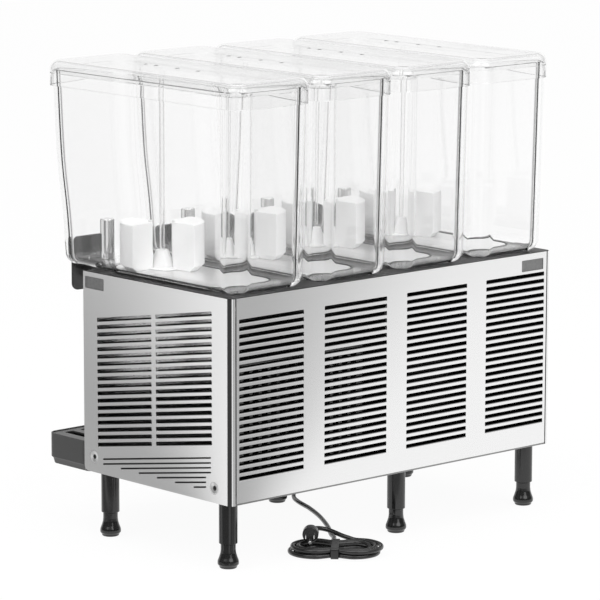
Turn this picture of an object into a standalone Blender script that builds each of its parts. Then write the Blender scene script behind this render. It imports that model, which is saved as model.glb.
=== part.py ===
# Four-bowl cold beverage dispenser with push handles, seen apart as it would come apart on a bench.
# Units are metres. Z is up, X runs across the width, and the serving side faces -Y.
# The origin lies on the counter under the middle of the footprint, cord left out.

import math

import bmesh
import bpy
from mathutils import Matrix, Vector

# Fits and sheet metal
FIT = 0.0003                  # gap between pieces that touch
SHEET = 0.0012
CUT_OVERRUN = 0.004           # how far a cutter stands past what it cuts

# Cabinet
CABINET_WIDTH = 0.688
CABINET_DEPTH = 0.350
CABINET_HEIGHT = 0.318
LEG_HEIGHT = 0.104            # counter to the underside of the cabinet
FOLD_RADIUS = 0.009           # rear fold of each side panel
FOLD_STEPS = 3
CORNER_GROOVE = 0.0022        # dark groove between a side panel and the rear panel
REAR_SKIRT_RISE = 0.003       # the rear panel ends this much above the side panels
FASCIA_HEIGHT = 0.080
FASCIA_STEP = 0.002
FASCIA_RETURN = 0.0015
PAN_WALL = 0.014
DECK_RISE = 0.0006            # deck top above the panels
DECK_DEPTH = 0.014
DECK_THICKNESS = 0.0025

# Louvres of the rear panel
REAR_GROUPS = 4
REAR_SLOTS = 22
REAR_GROUP_GAP = 0.043
REAR_GROUP_MARGIN = 0.0165    # panel's end to the first group
REAR_GROUP_ROOM = CABINET_WIDTH - 2 * REAR_GROUP_MARGIN + REAR_GROUP_GAP
REAR_GROUP_PITCH = REAR_GROUP_ROOM / REAR_GROUPS
REAR_GROUP_WIDTH = REAR_GROUP_PITCH - REAR_GROUP_GAP
REAR_LOUVRE_ROOM = 0.065      # plain panel above and below the louvres
REAR_SLOT_PITCH = (CABINET_HEIGHT - REAR_LOUVRE_ROOM) / REAR_SLOTS
REAR_LOUVRE_RISE = 0.038      # lowest slot above the panel's lower edge
REAR_LOUVRE_BASE = LEG_HEIGHT + REAR_LOUVRE_RISE
SLOT_HEIGHT = 0.0062
LIP_LENGTH = 0.0052
LIP_ANGLE = math.radians(48)  # the lip leans inward by this much from level
LIP_SIDE_GAP = 0.0008
LIP_THICKNESS = 0.00108
LIP_SEAT = 0.0004              # the lip starts this much below its slot

# Louvres of the side panels, which climb towards the rear
SIDE_SLOTS = 18
SIDE_GROUP_GAP = 0.0105
SIDE_GROUP_MARGIN = 0.03875
SIDE_GROUP_WIDTH = (CABINET_DEPTH - SIDE_GROUP_GAP) / 2 - SIDE_GROUP_MARGIN
SIDE_GROUP_SHIFT = -0.005     # middle of the two groups from the cabinet's middle
SIDE_LOUVRE_ROOM = 0.1074
SIDE_SLOT_PITCH = (CABINET_HEIGHT - SIDE_LOUVRE_ROOM) / SIDE_SLOTS
SIDE_LOUVRE_RISE = 0.0425
SIDE_LOUVRE_BASE = LEG_HEIGHT + SIDE_LOUVRE_RISE
SIDE_SLOPE = 0.172            # rise per run of every side slot
FINE_SLOTS = 7
FINE_SLOT_HEIGHT = 0.0026
FINE_SLOT_PITCH = 0.0078
FINE_SLOT_RISE = 0.0165
FINE_SLOT_BASE = LEG_HEIGHT + FINE_SLOT_RISE
FINE_SLOT_MARGIN = 0.046      # rear end of the fine slots to the panel's rear edge
FINE_SLOT_END = CABINET_DEPTH / 2 - FINE_SLOT_MARGIN
SHORTEST_FINE_SLOT = 0.0405   # the lowest one before its cut
FINE_SLOT_RUN = (2 * FINE_SLOT_END - SHORTEST_FINE_SLOT) / (FINE_SLOTS - 2)
SHORT_FINE_SLOTS = 3          # the lowest ones end before the screw, by the cut
SHORT_FINE_CUT = 0.0115

# Legs
LEG_INSET_X = 0.024
LEG_INSET_Y = 0.034
MIDDLE_LEG_X = -0.033
SLEEVE_RADIUS = 0.01435
SLEEVE_LIFT = 0.0385          # counter to the lower end of the sleeve
FOOT_RADIUS = 0.0116
FOOT_FLARE_RADIUS = 0.0165
FOOT_PAD_RADIUS = 0.0130
FOOT_FLARE_TOP = 0.025
FOOT_FLARE_HIGH = 0.0105
FOOT_FLARE_LOW = 0.0065
STEM_RADIUS = 0.0060
STEM_CLEARANCE = 0.0006
STEM_REACH = 0.045            # threaded stem inside the sleeve

# Bowls
BOWL_COUNT = 4
BOWL_ROW_MARGIN = 0.001       # the row of bowls ends this much inside the cabinet
BOWL_PITCH = (CABINET_WIDTH - 2 * BOWL_ROW_MARGIN) / BOWL_COUNT
BOWL_SPACING = 0.0149         # from rim to rim
BOWL_WIDTH = BOWL_PITCH - BOWL_SPACING
BOWL_WALL = 0.0035
BOWL_SIDE_DRAFT = 0.0028
BOWL_REAR_OVERHANG = 0.0012   # rim behind the rear panel
BOWL_REAR = CABINET_DEPTH / 2 + BOWL_REAR_OVERHANG
BOWL_REAR_DRAFT = 0.0055
BOWL_FRONT_OVERHANG = 0.0985  # rim in front of the front panel
BOWL_FRONT = CABINET_DEPTH / 2 + BOWL_FRONT_OVERHANG
BOWL_FRONT_DRAFT = 0.0250
BOWL_HEIGHT = 0.3076
BOWL_CORNER = 0.0248
BOWL_FLOOR_RADIUS = 0.0200
BOWL_FLOOR_TURNS = (0, 30, 60)
FRONT_SWEEP_SHARES = ((0.22, 0.22), (0.52, 0.70), (1.0, 1.0))

# Lids
LID_WALL = 0.0025
LID_CLEARANCE = 0.0004
LID_SKIRT = 0.0260            # how far the skirt hangs below the rim
LID_CROWN = 0.0130            # crown above the rim, outside
LID_FRONT_ROOM = 0.0030
LID_CORNER = 0.0276
LID_SHOULDER_SHARES = ((0.0, 0.0), (0.58, 0.22), (0.89, 0.56), (1.0, 1.0))
LID_SHOULDER = 0.0115         # how far the flat top lies inside the skirt

# Cold plate, gasket and agitator in each bowl
HUB_INSET = 0.091             # agitator axis behind the front panel
HUB_Y = HUB_INSET - CABINET_DEPTH / 2
PLATE_END_ROOM = 0.090        # how much shorter the plate is than the cabinet
PLATE_LENGTH = CABINET_DEPTH - PLATE_END_ROOM
PLATE_SIDE_ROOM = 0.0386
PLATE_WIDTH = BOWL_WIDTH - PLATE_SIDE_ROOM
PLATE_CORNER = 0.030
PLATE_FRONT = 0.062           # agitator axis to the front end of the plate
PLATE_PROUD = 0.0015          # cold plate above the bowl's floor
GASKET_WIDTH = 0.0036
BLADE_CLEARANCE = 0.0123      # blade tips to the widest part of the bowl
BLADE_REACH = BOWL_WIDTH / 2 - BLADE_CLEARANCE
BLADE_ROOT = 0.021
BLADE_HEIGHT = 0.074
BLADE_SPREAD = math.radians(88)
BLADE_TURN = math.radians(-37.6)
BLADE_STEPS = 4
BLADE_BEVEL = 0.008           # the outer lower edge clears the bowl's rounded foot
HUB_RADIUS = 0.030
HUB_DISC = 0.0035
CONE_HEIGHT = 0.026
CONE_FOOT_RADIUS = 0.020
CONE_TOP_RADIUS = 0.0095
TUBE_RADIUS = 0.0040
TUBE_LID_GAP = 0.006

# Tap: spout, plunger and push handle
TAP_FORWARD = 0.0435          # plunger axis in front of the front panel
TAP_Y = -CABINET_DEPTH / 2 - TAP_FORWARD
PLUNGER_RADIUS = 0.0110
PLUNGER_HEIGHT = 0.0595
PLUNGER_WALL = 0.0012         # a drawn cap over the rod
SPOUT_RADIUS = 0.0130
SPOUT_BORE = 0.0080
SPOUT_DROP = 0.0180           # spout below the bowl's underside
STEM_ROD_RADIUS = 0.0040
STEM_ROD_DROP = 0.0270        # plunger stem below the bowl's underside
EAR_OFFSET = 0.0145           # middle of each ear from the tap's middle
EAR_THICKNESS = 0.0040
EAR_REACH = 0.0010             # rear end of each ear in front of the tap's middle
PIVOT_FORWARD = 0.0215        # pivot in front of the plunger axis
PIVOT_DROP = 0.0110           # pivot below the bowl's underside
PIVOT_PIN_RADIUS = 0.0024
EAR_TIP_ROUND = 0.0060
HANDLE_WIDTH = 0.0860
HANDLE_RISE = 0.0381          # handle plate above the bowl's underside
HANDLE_DROP = 0.0479          # and below it
HANDLE_FORWARD = 0.0360       # back of the handle plate in front of the plunger axis
HANDLE_BACK = HANDLE_FORWARD - TAP_Y
HANDLE_THICKNESS = 0.0045
HANDLE_CORNER = 0.0110
ARM_THICKNESS = 0.0040
ARM_GAP = 0.0008
ARM_HEIGHT = 0.0120
FINGER_WIDTH = 0.0080
FINGER_THICKNESS = 0.0040
PIVOT_CLEARANCE = 0.0003

# Drip tray
TRAY_GAP = 0.004              # front panel to the tray
TRAY_REAR = CABINET_DEPTH / 2 + TRAY_GAP
TRAY_REACH = 0.102
TRAY_FRONT = TRAY_REAR + TRAY_REACH
TRAY_END_INSET = 0.010
TRAY_WIDTH = CABINET_WIDTH - 2 * TRAY_END_INSET
TRAY_DROP = 0.007             # tray below the cabinet's underside
TRAY_BOTTOM = LEG_HEIGHT - TRAY_DROP
TRAY_HEIGHT = 0.050
TRAY_TOP = TRAY_BOTTOM + TRAY_HEIGHT
TRAY_STEP = 0.0085
TRAY_STEP_INSET = 0.003
TRAY_WALL = 0.0025
TRAY_CORNER = 0.015
GRILLE_THICKNESS = 0.003
GRILLE_LEDGE = 0.004
GRILLE_SLOTS = 20
GRILLE_SLOT_SHARE = 0.55
GRILLE_RIM = 0.012
GRILLE_SINK = 0.0015
BRACKET_INSET = 0.084         # tray's end to the bracket's end
BRACKET_WIDTH = TRAY_WIDTH - 2 * BRACKET_INSET
BRACKET_SHEET = 0.002
BRACKET_FLANGE = 0.020
BRACKET_ARM_WIDTH = 0.040
BRACKET_REACH = 0.080

# Power switch in the fascia
SWITCH_INSET = 0.054          # side of the cabinet to the middle of the switch
SWITCH_DROP = 0.052           # top of the cabinet to the middle of the switch
SWITCH_PLACE = (SWITCH_INSET - CABINET_WIDTH / 2, LEG_HEIGHT + CABINET_HEIGHT - SWITCH_DROP)
SWITCH_WIDTH = 0.0210
SWITCH_HEIGHT = 0.0280
SWITCH_GAP = 0.0012
SWITCH_DEPTH = 0.0120
SWITCH_PIVOT = 0.0060         # pivot behind the fascia's face
SWITCH_PROUD = 0.0020
SWITCH_VALLEY = 0.0018
SWITCH_PIN_RADIUS = 0.0015
SWITCH_EAR = 0.0030
SWITCH_TILT = math.radians(7)  # the rocker rests switched off

# Cooling plant inside the cabinet
COMPRESSOR_INSET = 0.154
COMPRESSOR_BACK = 0.010
COMPRESSOR_PLACE = (COMPRESSOR_INSET - CABINET_WIDTH / 2, COMPRESSOR_BACK)
COMPRESSOR_RADIUS = 0.070
COMPRESSOR_HEIGHT = 0.150
COMPRESSOR_WELD = 0.0030      # weld bead round the shell
COMPRESSOR_PLATE = (0.190, 0.130, 0.003)
COMPRESSOR_FOOT = 0.014       # rubber mount under each corner of the plate
CONDENSER_WIDTH = 0.260
CONDENSER_DEPTH = 0.054
CONDENSER_END_GAP = 0.034     # to the side panel
CONDENSER_REAR_GAP = 0.025    # to the rear panel
CONDENSER_END = CABINET_WIDTH / 2 - CONDENSER_END_GAP
CONDENSER_REAR = CABINET_DEPTH / 2 - CONDENSER_REAR_GAP
CONDENSER_X = (CONDENSER_END - CONDENSER_WIDTH, CONDENSER_END)
CONDENSER_Y = (CONDENSER_REAR - CONDENSER_DEPTH, CONDENSER_REAR)
CONDENSER_HEIGHT = 0.215
CONDENSER_SLOTS = 13
CONDENSER_RIM = 0.010
CONDENSER_CORE = 0.032        # depth of the finned core
FAN_HEIGHT = 0.110            # fan axis above the base pan
FAN_TUNNEL_RADIUS = 0.097
FAN_RADIUS = 0.090
FAN_HUB_RADIUS = 0.024
FAN_HUB_DEPTH = 0.016
FAN_BLADES = 5
FAN_BLADE_CHORD = 0.034
FAN_BLADE_THICKNESS = 0.0016
FAN_BLADE_PITCH = math.radians(24)
FAN_SINK = 0.010              # middle of the fan inside its tunnel
FAN_Y = CONDENSER_REAR - CONDENSER_DEPTH + FAN_SINK
MOTOR_RADIUS = 0.040
MOTOR_LENGTH = 0.045
MOTOR_GAP = 0.012             # motor face to the fan's hub
MOTOR_SHAFT_RADIUS = 0.004
MOTOR_BRACKET = (0.050, 0.004)
MOTOR_FOOT = 0.060

# Power cord
CORD_RADIUS = 0.00365
GLAND_X = -0.090
GLAND_INSET = 0.025           # middle of the gland behind the front panel
GLAND_PLACE = (GLAND_X, GLAND_INSET - CABINET_DEPTH / 2)
GLAND_NECK_RADIUS = 0.0075
GLAND_FLANGE_RADIUS = 0.0120
GLAND_FLANGE = 0.0030
GLAND_TAPER = 0.0280
GLAND_TIP_RADIUS = 0.0052
CORD_STEP = 0.0180            # spacing of the lead's points
ROUTE_PARTS = 20              # readings between two points of a route
# from the gland's middle: along the width, towards the rear, and the height above the counter
LEAD_ROUTE = ((0.0, 0.0, 0.0660), (0.0032, 0.0010, 0.0420), (0.0145, 0.0050, 0.0170),
              (0.0310, 0.0210, 0.0058), (0.0480, 0.0550, 0.0046), (0.0620, 0.0920, 0.0046),
              (0.0906, 0.1496, 0.0046), (0.1280, 0.2090, 0.0046), (0.1590, 0.2500, 0.0046))
HANK_FROM_GLAND = (0.2315, 0.3385)
HANK_PLACE = (GLAND_PLACE[0] + HANK_FROM_GLAND[0], GLAND_PLACE[1] + HANK_FROM_GLAND[1])
HANK_LIFT = 0.0054            # middle of the lower layer above the counter
HANK_LAYER = 0.00785
HANK_STRAIGHT = 0.030         # half the straight part of each loop
HANK_OUTER = 0.042            # half width of the outermost loop
HANK_STEP = 0.009             # from loop to loop
HANK_WAIST = 0.010            # how far every loop is drawn in at the tie
HANK_ENTRY_RADIUS = 0.024
HANK_ENTRY_STEPS = 4
HANK_RUN_STEPS = 5            # points along each run
HANK_END_STEPS = 7            # points round each end
HANK_INWARD = 57              # points of the lower, inward spiral
HANK_OUTWARD = 58             # points of the upper, outward spiral
TAIL_ROUTE = ((-0.0100, -0.0480, 0.0180), (0.0110, -0.0565, 0.0245), (0.0290, -0.0535, 0.0288))
PLUG_PLACE = (0.0390, -0.0320, 0.0300)
PLUG_RADIUS = 0.0125
PLUG_LENGTH = 0.030
PLUG_NECK_RADIUS = 0.0060
PLUG_NECK = 0.008
PRONG_SPREAD = 0.0127
PRONG_SIZE = (0.0015, 0.0155, 0.0062)
GROUND_PIN_RADIUS = 0.0024
TIE_WIDTH = 0.012
TIE_WALL = 0.0012
TIE_FRONT = 0.0345
TIE_REAR = 0.0302


def clear_scene():
    for old in list(bpy.data.objects):
        bpy.data.objects.remove(old)


def make_collection(name):
    collection = bpy.data.collections.new(name)
    bpy.context.scene.collection.children.link(collection)
    return collection


def make_material(name, colour, roughness, metallic=0.0, transmission=0.0):
    material = bpy.data.materials.new(name)
    material.use_nodes = True
    shader = material.node_tree.nodes["Principled BSDF"]
    shader.inputs["Base Color"].default_value = (*colour, 1.0)
    shader.inputs["Roughness"].default_value = roughness
    shader.inputs["Metallic"].default_value = metallic
    shader.inputs["Transmission Weight"].default_value = transmission
    return material


clear_scene()
PARTS = make_collection("cold_beverage_dispenser")
CUTTERS = make_collection("cutters")
FRAME = bpy.data.objects.new("frame", None)
FRAME.location.y = (TRAY_FRONT - BOWL_REAR - LID_CLEARANCE - LID_WALL) / 2
PARTS.objects.link(FRAME)

STEEL = make_material("brushed_steel", (0.62, 0.62, 0.63), 0.32, 1.0)
DARK_STEEL = make_material("galvanised_steel", (0.35, 0.36, 0.37), 0.45, 1.0)
CLEAR = make_material("clear_polycarbonate", (0.93, 0.95, 0.96), 0.05, 0.0, 1.0)
WHITE = make_material("white_moulding", (0.80, 0.80, 0.79), 0.45)
BLACK = make_material("black_moulding", (0.02, 0.02, 0.022), 0.35)
RUBBER = make_material("black_rubber", (0.015, 0.015, 0.015), 0.7)
CHROME = make_material("polished_steel", (0.75, 0.75, 0.76), 0.12, 1.0)


def place(name, mesh, material, origin=(0.0, 0.0, 0.0), smooth=False):
    obj = bpy.data.objects.new(name, mesh)
    PARTS.objects.link(obj)
    obj.parent = FRAME
    obj.location = origin
    mesh.materials.clear()
    mesh.materials.append(material)
    if smooth:
        mesh.shade_smooth()
        mesh.set_sharp_from_angle(angle=math.radians(35))
    return obj


def cutter(name, mesh):
    obj = bpy.data.objects.new(name, mesh)
    CUTTERS.objects.link(obj)
    obj.parent = FRAME
    obj.hide_render = True
    obj.display_type = "WIRE"
    return obj


def combine(obj, tool, operation):
    step = obj.modifiers.new(operation.lower(), "BOOLEAN")
    step.operation = operation
    step.object = tool
    step.solver = "EXACT"
    return step


def finish_mesh(bm, name):
    mesh = bpy.data.meshes.new(name)
    bmesh.ops.recalc_face_normals(bm, faces=bm.faces)
    bm.to_mesh(mesh)
    bm.free()
    return mesh


def add_box(bm, low, high):
    size = Vector(high) - Vector(low)
    middle = (Vector(high) + Vector(low)) / 2
    matrix = Matrix.Translation(middle) @ Matrix.Diagonal((*size, 1.0))
    bmesh.ops.create_cube(bm, size=1.0, matrix=matrix)


def box_mesh(name, *boxes):
    bm = bmesh.new()
    for low, high in boxes:
        add_box(bm, low, high)
    return finish_mesh(bm, name)


def add_cylinder(bm, radius, low, high, segments, top_radius=None, turn=None):
    depth = high[2] - low[2]
    middle = Vector(((low[0] + high[0]) / 2, (low[1] + high[1]) / 2, (low[2] + high[2]) / 2))
    matrix = Matrix.Translation(middle)
    if turn is not None:
        matrix = matrix @ turn
    top = radius if top_radius is None else top_radius
    bmesh.ops.create_cone(bm, cap_ends=True, segments=segments, radius1=radius, radius2=top,
                          depth=depth, matrix=matrix)


def upright_mesh(name, radius, x, y, low, high, segments, top_radius=None):
    bm = bmesh.new()
    add_cylinder(bm, radius, (x, y, low), (x, y, high), segments, top_radius)
    return finish_mesh(bm, name)


def cross_pin_mesh(name, radius, x_low, x_high, y, z, segments):
    bm = bmesh.new()
    middle = Matrix.Translation(((x_low + x_high) / 2, y, z))
    turn = Matrix.Rotation(math.pi / 2, 4, "Y")
    bmesh.ops.create_cone(bm, cap_ends=True, segments=segments, radius1=radius, radius2=radius,
                          depth=x_high - x_low, matrix=middle @ turn)
    return finish_mesh(bm, name)


def turned_mesh(name, profile, segments, centre=(0.0, 0.0)):
    bm = bmesh.new()
    verts = [bm.verts.new((radius, 0.0, height)) for radius, height in profile]
    for first, second in zip(verts, verts[1:]):
        bm.edges.new((first, second))
    guide = bpy.data.meshes.new(name + "_profile")
    bm.to_mesh(guide)
    bm.free()
    obj = bpy.data.objects.new(name + "_profile", guide)
    bpy.context.scene.collection.objects.link(obj)
    screw = obj.modifiers.new("turn", "SCREW")
    screw.steps = segments
    screw.render_steps = segments
    screw.use_merge_vertices = True
    screw.merge_threshold = FIT / 10
    mesh = read_evaluated(obj)
    mesh.name = name
    mesh.transform(Matrix.Translation((*centre, 0.0)))
    return mesh


def read_evaluated(obj):
    bpy.context.view_layer.update()
    graph = bpy.context.evaluated_depsgraph_get()
    mesh = bpy.data.meshes.new_from_object(obj.evaluated_get(graph))
    bpy.data.objects.remove(obj)
    return mesh


def outline_mesh(name, points, low, high):
    # a flat closed outline as a filled 2D curve, extruded to run from low to high along Z
    curve = bpy.data.curves.new(name + "_outline", "CURVE")
    curve.dimensions = "2D"
    curve.fill_mode = "BOTH"
    curve.extrude = (high - low) / 2
    spline = curve.splines.new("POLY")
    spline.points.add(len(points) - 1)
    for point, (x, y) in zip(spline.points, points):
        point.co = (x, y, 0.0, 1.0)
    spline.use_cyclic_u = True
    obj = bpy.data.objects.new(name + "_outline", curve)
    bpy.context.scene.collection.objects.link(obj)
    mesh = read_evaluated(obj)
    mesh.transform(Matrix.Translation((0.0, 0.0, (low + high) / 2)))
    bm = bmesh.new()
    bm.from_mesh(mesh)
    bmesh.ops.remove_doubles(bm, verts=bm.verts, dist=FIT / 10)
    bmesh.ops.dissolve_limit(bm, angle_limit=math.radians(0.5), verts=bm.verts, edges=bm.edges)
    bm.to_mesh(mesh)
    bm.free()
    mesh.name = name
    return mesh


def rounded_rectangle(x_low, x_high, y_low, y_high, radius, segments):
    corners = ((x_high - radius, y_high - radius, 0.0), (x_low + radius, y_high - radius, 90.0),
               (x_low + radius, y_low + radius, 180.0), (x_high - radius, y_low + radius, 270.0))
    points = []
    for x, y, start in corners:
        for step in range(segments + 1):
            angle = math.radians(start + 90.0 * step / segments)
            points.append((x + radius * math.cos(angle), y + radius * math.sin(angle)))
    return points


def sheet_mesh(name, path, low, high, thickness):
    # a folded sheet that stands on its plan path, thickened towards the inside of the path
    bm = bmesh.new()
    verts = [bm.verts.new((x, y, low)) for x, y in path]
    edges = [bm.edges.new(pair) for pair in zip(verts, verts[1:])]
    raised = bmesh.ops.extrude_edge_only(bm, edges=edges)
    moved = [item for item in raised["geom"] if isinstance(item, bmesh.types.BMVert)]
    bmesh.ops.translate(bm, verts=moved, vec=(0.0, 0.0, high - low))
    return thicken(bm, name, thickness, outward=sheet_outward(path))


def sheet_outward(path):
    (x0, y0), (x1, y1) = path[0], path[1]
    return Vector((y1 - y0, x0 - x1, 0.0)), Vector(((x0 + x1) / 2, (y0 + y1) / 2, 0.0))


def thicken(bm, name, thickness, outward):
    direction, near = outward
    bm.faces.ensure_lookup_table()
    bmesh.ops.recalc_face_normals(bm, faces=bm.faces)
    bm.normal_update()
    face = min(bm.faces, key=lambda item: (item.calc_center_median().xy - near.xy).length)
    if face.normal.dot(direction) < 0:
        bmesh.ops.reverse_faces(bm, faces=bm.faces)
    mesh = bpy.data.meshes.new(name)
    bm.to_mesh(mesh)
    bm.free()
    obj = bpy.data.objects.new(name + "_sheet", mesh)
    bpy.context.scene.collection.objects.link(obj)
    shell = obj.modifiers.new("thickness", "SOLIDIFY")
    shell.thickness = thickness
    shell.offset = -1.0
    shell.use_even_offset = True
    return read_evaluated(obj)


def lofted_mesh(name, rings):
    # a closed solid through rings of equal count
    bm = bmesh.new()
    loops = [[bm.verts.new(point) for point in ring] for ring in rings]
    count = len(loops[0])
    for lower, upper in zip(loops, loops[1:]):
        for index in range(count):
            after = (index + 1) % count
            bm.faces.new((lower[index], lower[after], upper[after], upper[index]))
    bm.faces.new(loops[0])
    bm.faces.new(loops[-1])
    return finish_mesh(bm, name)


def shell_mesh(name, rings, thickness, cap_first):
    # an open shell lofted through rings of equal count, closed by a flat face at one end
    bm = bmesh.new()
    loops = [[bm.verts.new(point) for point in ring] for ring in rings]
    count = len(loops[0])
    for lower, upper in zip(loops, loops[1:]):
        for index in range(count):
            after = (index + 1) % count
            bm.faces.new((lower[index], lower[after], upper[after], upper[index]))
    bm.faces.new(loops[0] if cap_first else loops[-1])
    bmesh.ops.recalc_face_normals(bm, faces=bm.faces)
    bm.normal_update()
    centre = sum((vert.co for vert in bm.verts), Vector()) / len(bm.verts)
    wall = max(bm.faces, key=lambda item: item.calc_center_median().x)
    if wall.normal.dot(wall.calc_center_median() - centre) < 0:
        bmesh.ops.reverse_faces(bm, faces=bm.faces)
    mesh = bpy.data.meshes.new(name)
    bm.to_mesh(mesh)
    bm.free()
    obj = bpy.data.objects.new(name + "_shell", mesh)
    bpy.context.scene.collection.objects.link(obj)
    shell = obj.modifiers.new("thickness", "SOLIDIFY")
    shell.thickness = thickness
    shell.offset = -1.0
    shell.use_even_offset = True
    return read_evaluated(obj)


# Levels that several pieces share
PANEL_TOP = LEG_HEIGHT + CABINET_HEIGHT
HALF_WIDTH = CABINET_WIDTH / 2
HALF_DEPTH = CABINET_DEPTH / 2
DECK_TOP = PANEL_TOP + DECK_RISE
BOWL_BASE = DECK_TOP + FIT
BOWL_FLOOR = BOWL_BASE + BOWL_WALL
BOWL_RIM = BOWL_BASE + BOWL_HEIGHT
PAN_TOP = LEG_HEIGHT + SHEET


def slot_matrix(along, up, outward, centre):
    basis = Matrix((along, up, outward)).transposed().to_4x4()
    return Matrix.Translation(centre) @ basis


def add_slot(bm, frame, length, height):
    size = Matrix.Diagonal((length, height, 2 * CUT_OVERRUN, 1.0))
    bmesh.ops.create_cube(bm, size=1.0, matrix=frame @ size)


def add_lip(bm, frame, length, height):
    # a strip that starts inside the sheet below the slot and leans inward and up
    seat = Matrix.Translation((0.0, -height / 2 - LIP_SEAT, -SHEET / 2))
    lean = Matrix.Rotation(-(math.pi / 2 - LIP_ANGLE), 4, "X")
    middle = Matrix.Translation((0.0, LIP_LENGTH / 2, 0.0))
    size = Matrix.Diagonal((length - 2 * LIP_SIDE_GAP, LIP_LENGTH, LIP_THICKNESS, 1.0))
    bmesh.ops.create_cube(bm, size=1.0, matrix=frame @ seat @ lean @ middle @ size)


def louvre_tools(name, slots, lips):
    cut = bmesh.new()
    for frame, length, height in slots:
        add_slot(cut, frame, length, height)
    ribs = bmesh.new()
    for frame, length, height in lips:
        add_lip(ribs, frame, length, height)
    return (cutter(name + "_slots", finish_mesh(cut, name + "_slots")),
            cutter(name + "_lips", finish_mesh(ribs, name + "_lips")))


def rear_panel():
    edge = HALF_WIDTH - FOLD_RADIUS - CORNER_GROOVE
    path = [(edge, HALF_DEPTH), (-edge, HALF_DEPTH)]
    mesh = sheet_mesh("rear_panel", path, LEG_HEIGHT + REAR_SKIRT_RISE, PANEL_TOP, SHEET)
    panel = place("rear_panel", mesh, STEEL)
    along, up, outward = Vector((-1, 0, 0)), Vector((0, 0, 1)), Vector((0, 1, 0))
    cuts = []
    strips = []
    span = (REAR_GROUPS - 1) * REAR_GROUP_PITCH + REAR_GROUP_WIDTH
    for row in range(REAR_SLOTS):
        z = REAR_LOUVRE_BASE + SLOT_HEIGHT / 2 + row * REAR_SLOT_PITCH
        middle = Vector((0.0, HALF_DEPTH, z))
        strips.append((slot_matrix(along, up, outward, middle), span, SLOT_HEIGHT))
        for group in range(REAR_GROUPS):
            x = (group - (REAR_GROUPS - 1) / 2) * REAR_GROUP_PITCH
            frame = slot_matrix(along, up, outward, Vector((x, HALF_DEPTH, z)))
            cuts.append((frame, REAR_GROUP_WIDTH, SLOT_HEIGHT))
    slots, lips = louvre_tools("rear_panel", cuts, strips)
    combine(panel, slots, "DIFFERENCE")
    combine(panel, lips, "UNION")


def side_louvres(side):
    # side is +1 for the right panel and -1 for the left one
    tilt = math.atan(SIDE_SLOPE)
    along = Vector((0, side * math.cos(tilt), side * math.sin(tilt)))
    up = Vector((0, -math.sin(tilt), math.cos(tilt)))
    outward = Vector((side, 0, 0))
    slots = []
    lips = []
    span = 2 * SIDE_GROUP_WIDTH + SIDE_GROUP_GAP
    front_y = SIDE_GROUP_SHIFT - span / 2
    for row in range(SIDE_SLOTS):
        base = SIDE_LOUVRE_BASE + SLOT_HEIGHT / 2 + row * SIDE_SLOT_PITCH
        middle = Vector((side * HALF_WIDTH, SIDE_GROUP_SHIFT, base + span / 2 * SIDE_SLOPE))
        lips.append((slot_matrix(along, up, outward, middle), span / math.cos(tilt), SLOT_HEIGHT))
        for group in (-1, 1):
            y = SIDE_GROUP_SHIFT + group * (SIDE_GROUP_WIDTH + SIDE_GROUP_GAP) / 2
            z = base + (y - front_y) * SIDE_SLOPE
            frame = slot_matrix(along, up, outward, Vector((side * HALF_WIDTH, y, z)))
            slots.append((frame, SIDE_GROUP_WIDTH / math.cos(tilt), SLOT_HEIGHT))
    for row in range(FINE_SLOTS):
        start = -FINE_SLOT_END + max(0, row - 1) * FINE_SLOT_RUN
        short = row >= FINE_SLOTS - SHORT_FINE_SLOTS
        run = FINE_SLOT_END - SHORT_FINE_CUT * short - start
        base = FINE_SLOT_BASE + FINE_SLOT_PITCH * (1 - min(row, 1))
        y = start + run / 2
        z = base + run / 2 * SIDE_SLOPE
        frame = slot_matrix(along, up, outward, Vector((side * HALF_WIDTH, y, z)))
        slots.append((frame, run / math.cos(tilt), FINE_SLOT_HEIGHT))
    return slots, lips


def side_panel(name, side):
    fold = []
    for step in range(FOLD_STEPS + 1):
        angle = math.pi / 2 * step / FOLD_STEPS
        x = HALF_WIDTH - FOLD_RADIUS + FOLD_RADIUS * math.cos(angle)
        y = HALF_DEPTH - FOLD_RADIUS + FOLD_RADIUS * math.sin(angle)
        fold.append((side * x, y))
    path = [(side * HALF_WIDTH, -HALF_DEPTH)] + fold
    if side < 0:
        path.reverse()
    panel = place(name, sheet_mesh(name, path, LEG_HEIGHT, PANEL_TOP, SHEET), STEEL)
    slots, lips = side_louvres(side)
    slot_tool, lip_tool = louvre_tools(name, slots, lips)
    combine(panel, slot_tool, "DIFFERENCE")
    combine(panel, lip_tool, "UNION")


def tray_rings(levels):
    # rings of a rounded rectangle, one for each (height, inset) pair
    rings = []
    for z, half_x, front, rear, corner in levels:
        outline = rounded_rectangle(-half_x, half_x, front, rear, corner, 3)
        rings.append([(x, y, z) for x, y in outline])
    return rings


def base_pan():
    half_x = HALF_WIDTH - SHEET - FIT
    front = -HALF_DEPTH + SHEET + FIT
    rear = HALF_DEPTH - SHEET - FIT
    corner = FOLD_RADIUS - SHEET
    rings = tray_rings([(LEG_HEIGHT, half_x, front, rear, corner),
                        (LEG_HEIGHT + PAN_WALL, half_x, front, rear, corner)])
    pan = place("base_pan", shell_mesh("base_pan", rings, SHEET, True), DARK_STEEL)
    x, y = GLAND_PLACE
    hole = cutter("base_pan_hole", upright_mesh("base_pan_hole", GLAND_NECK_RADIUS + FIT, x, y,
                                                LEG_HEIGHT - CUT_OVERRUN, PAN_TOP + CUT_OVERRUN, 12))
    combine(pan, hole, "DIFFERENCE")


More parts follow.
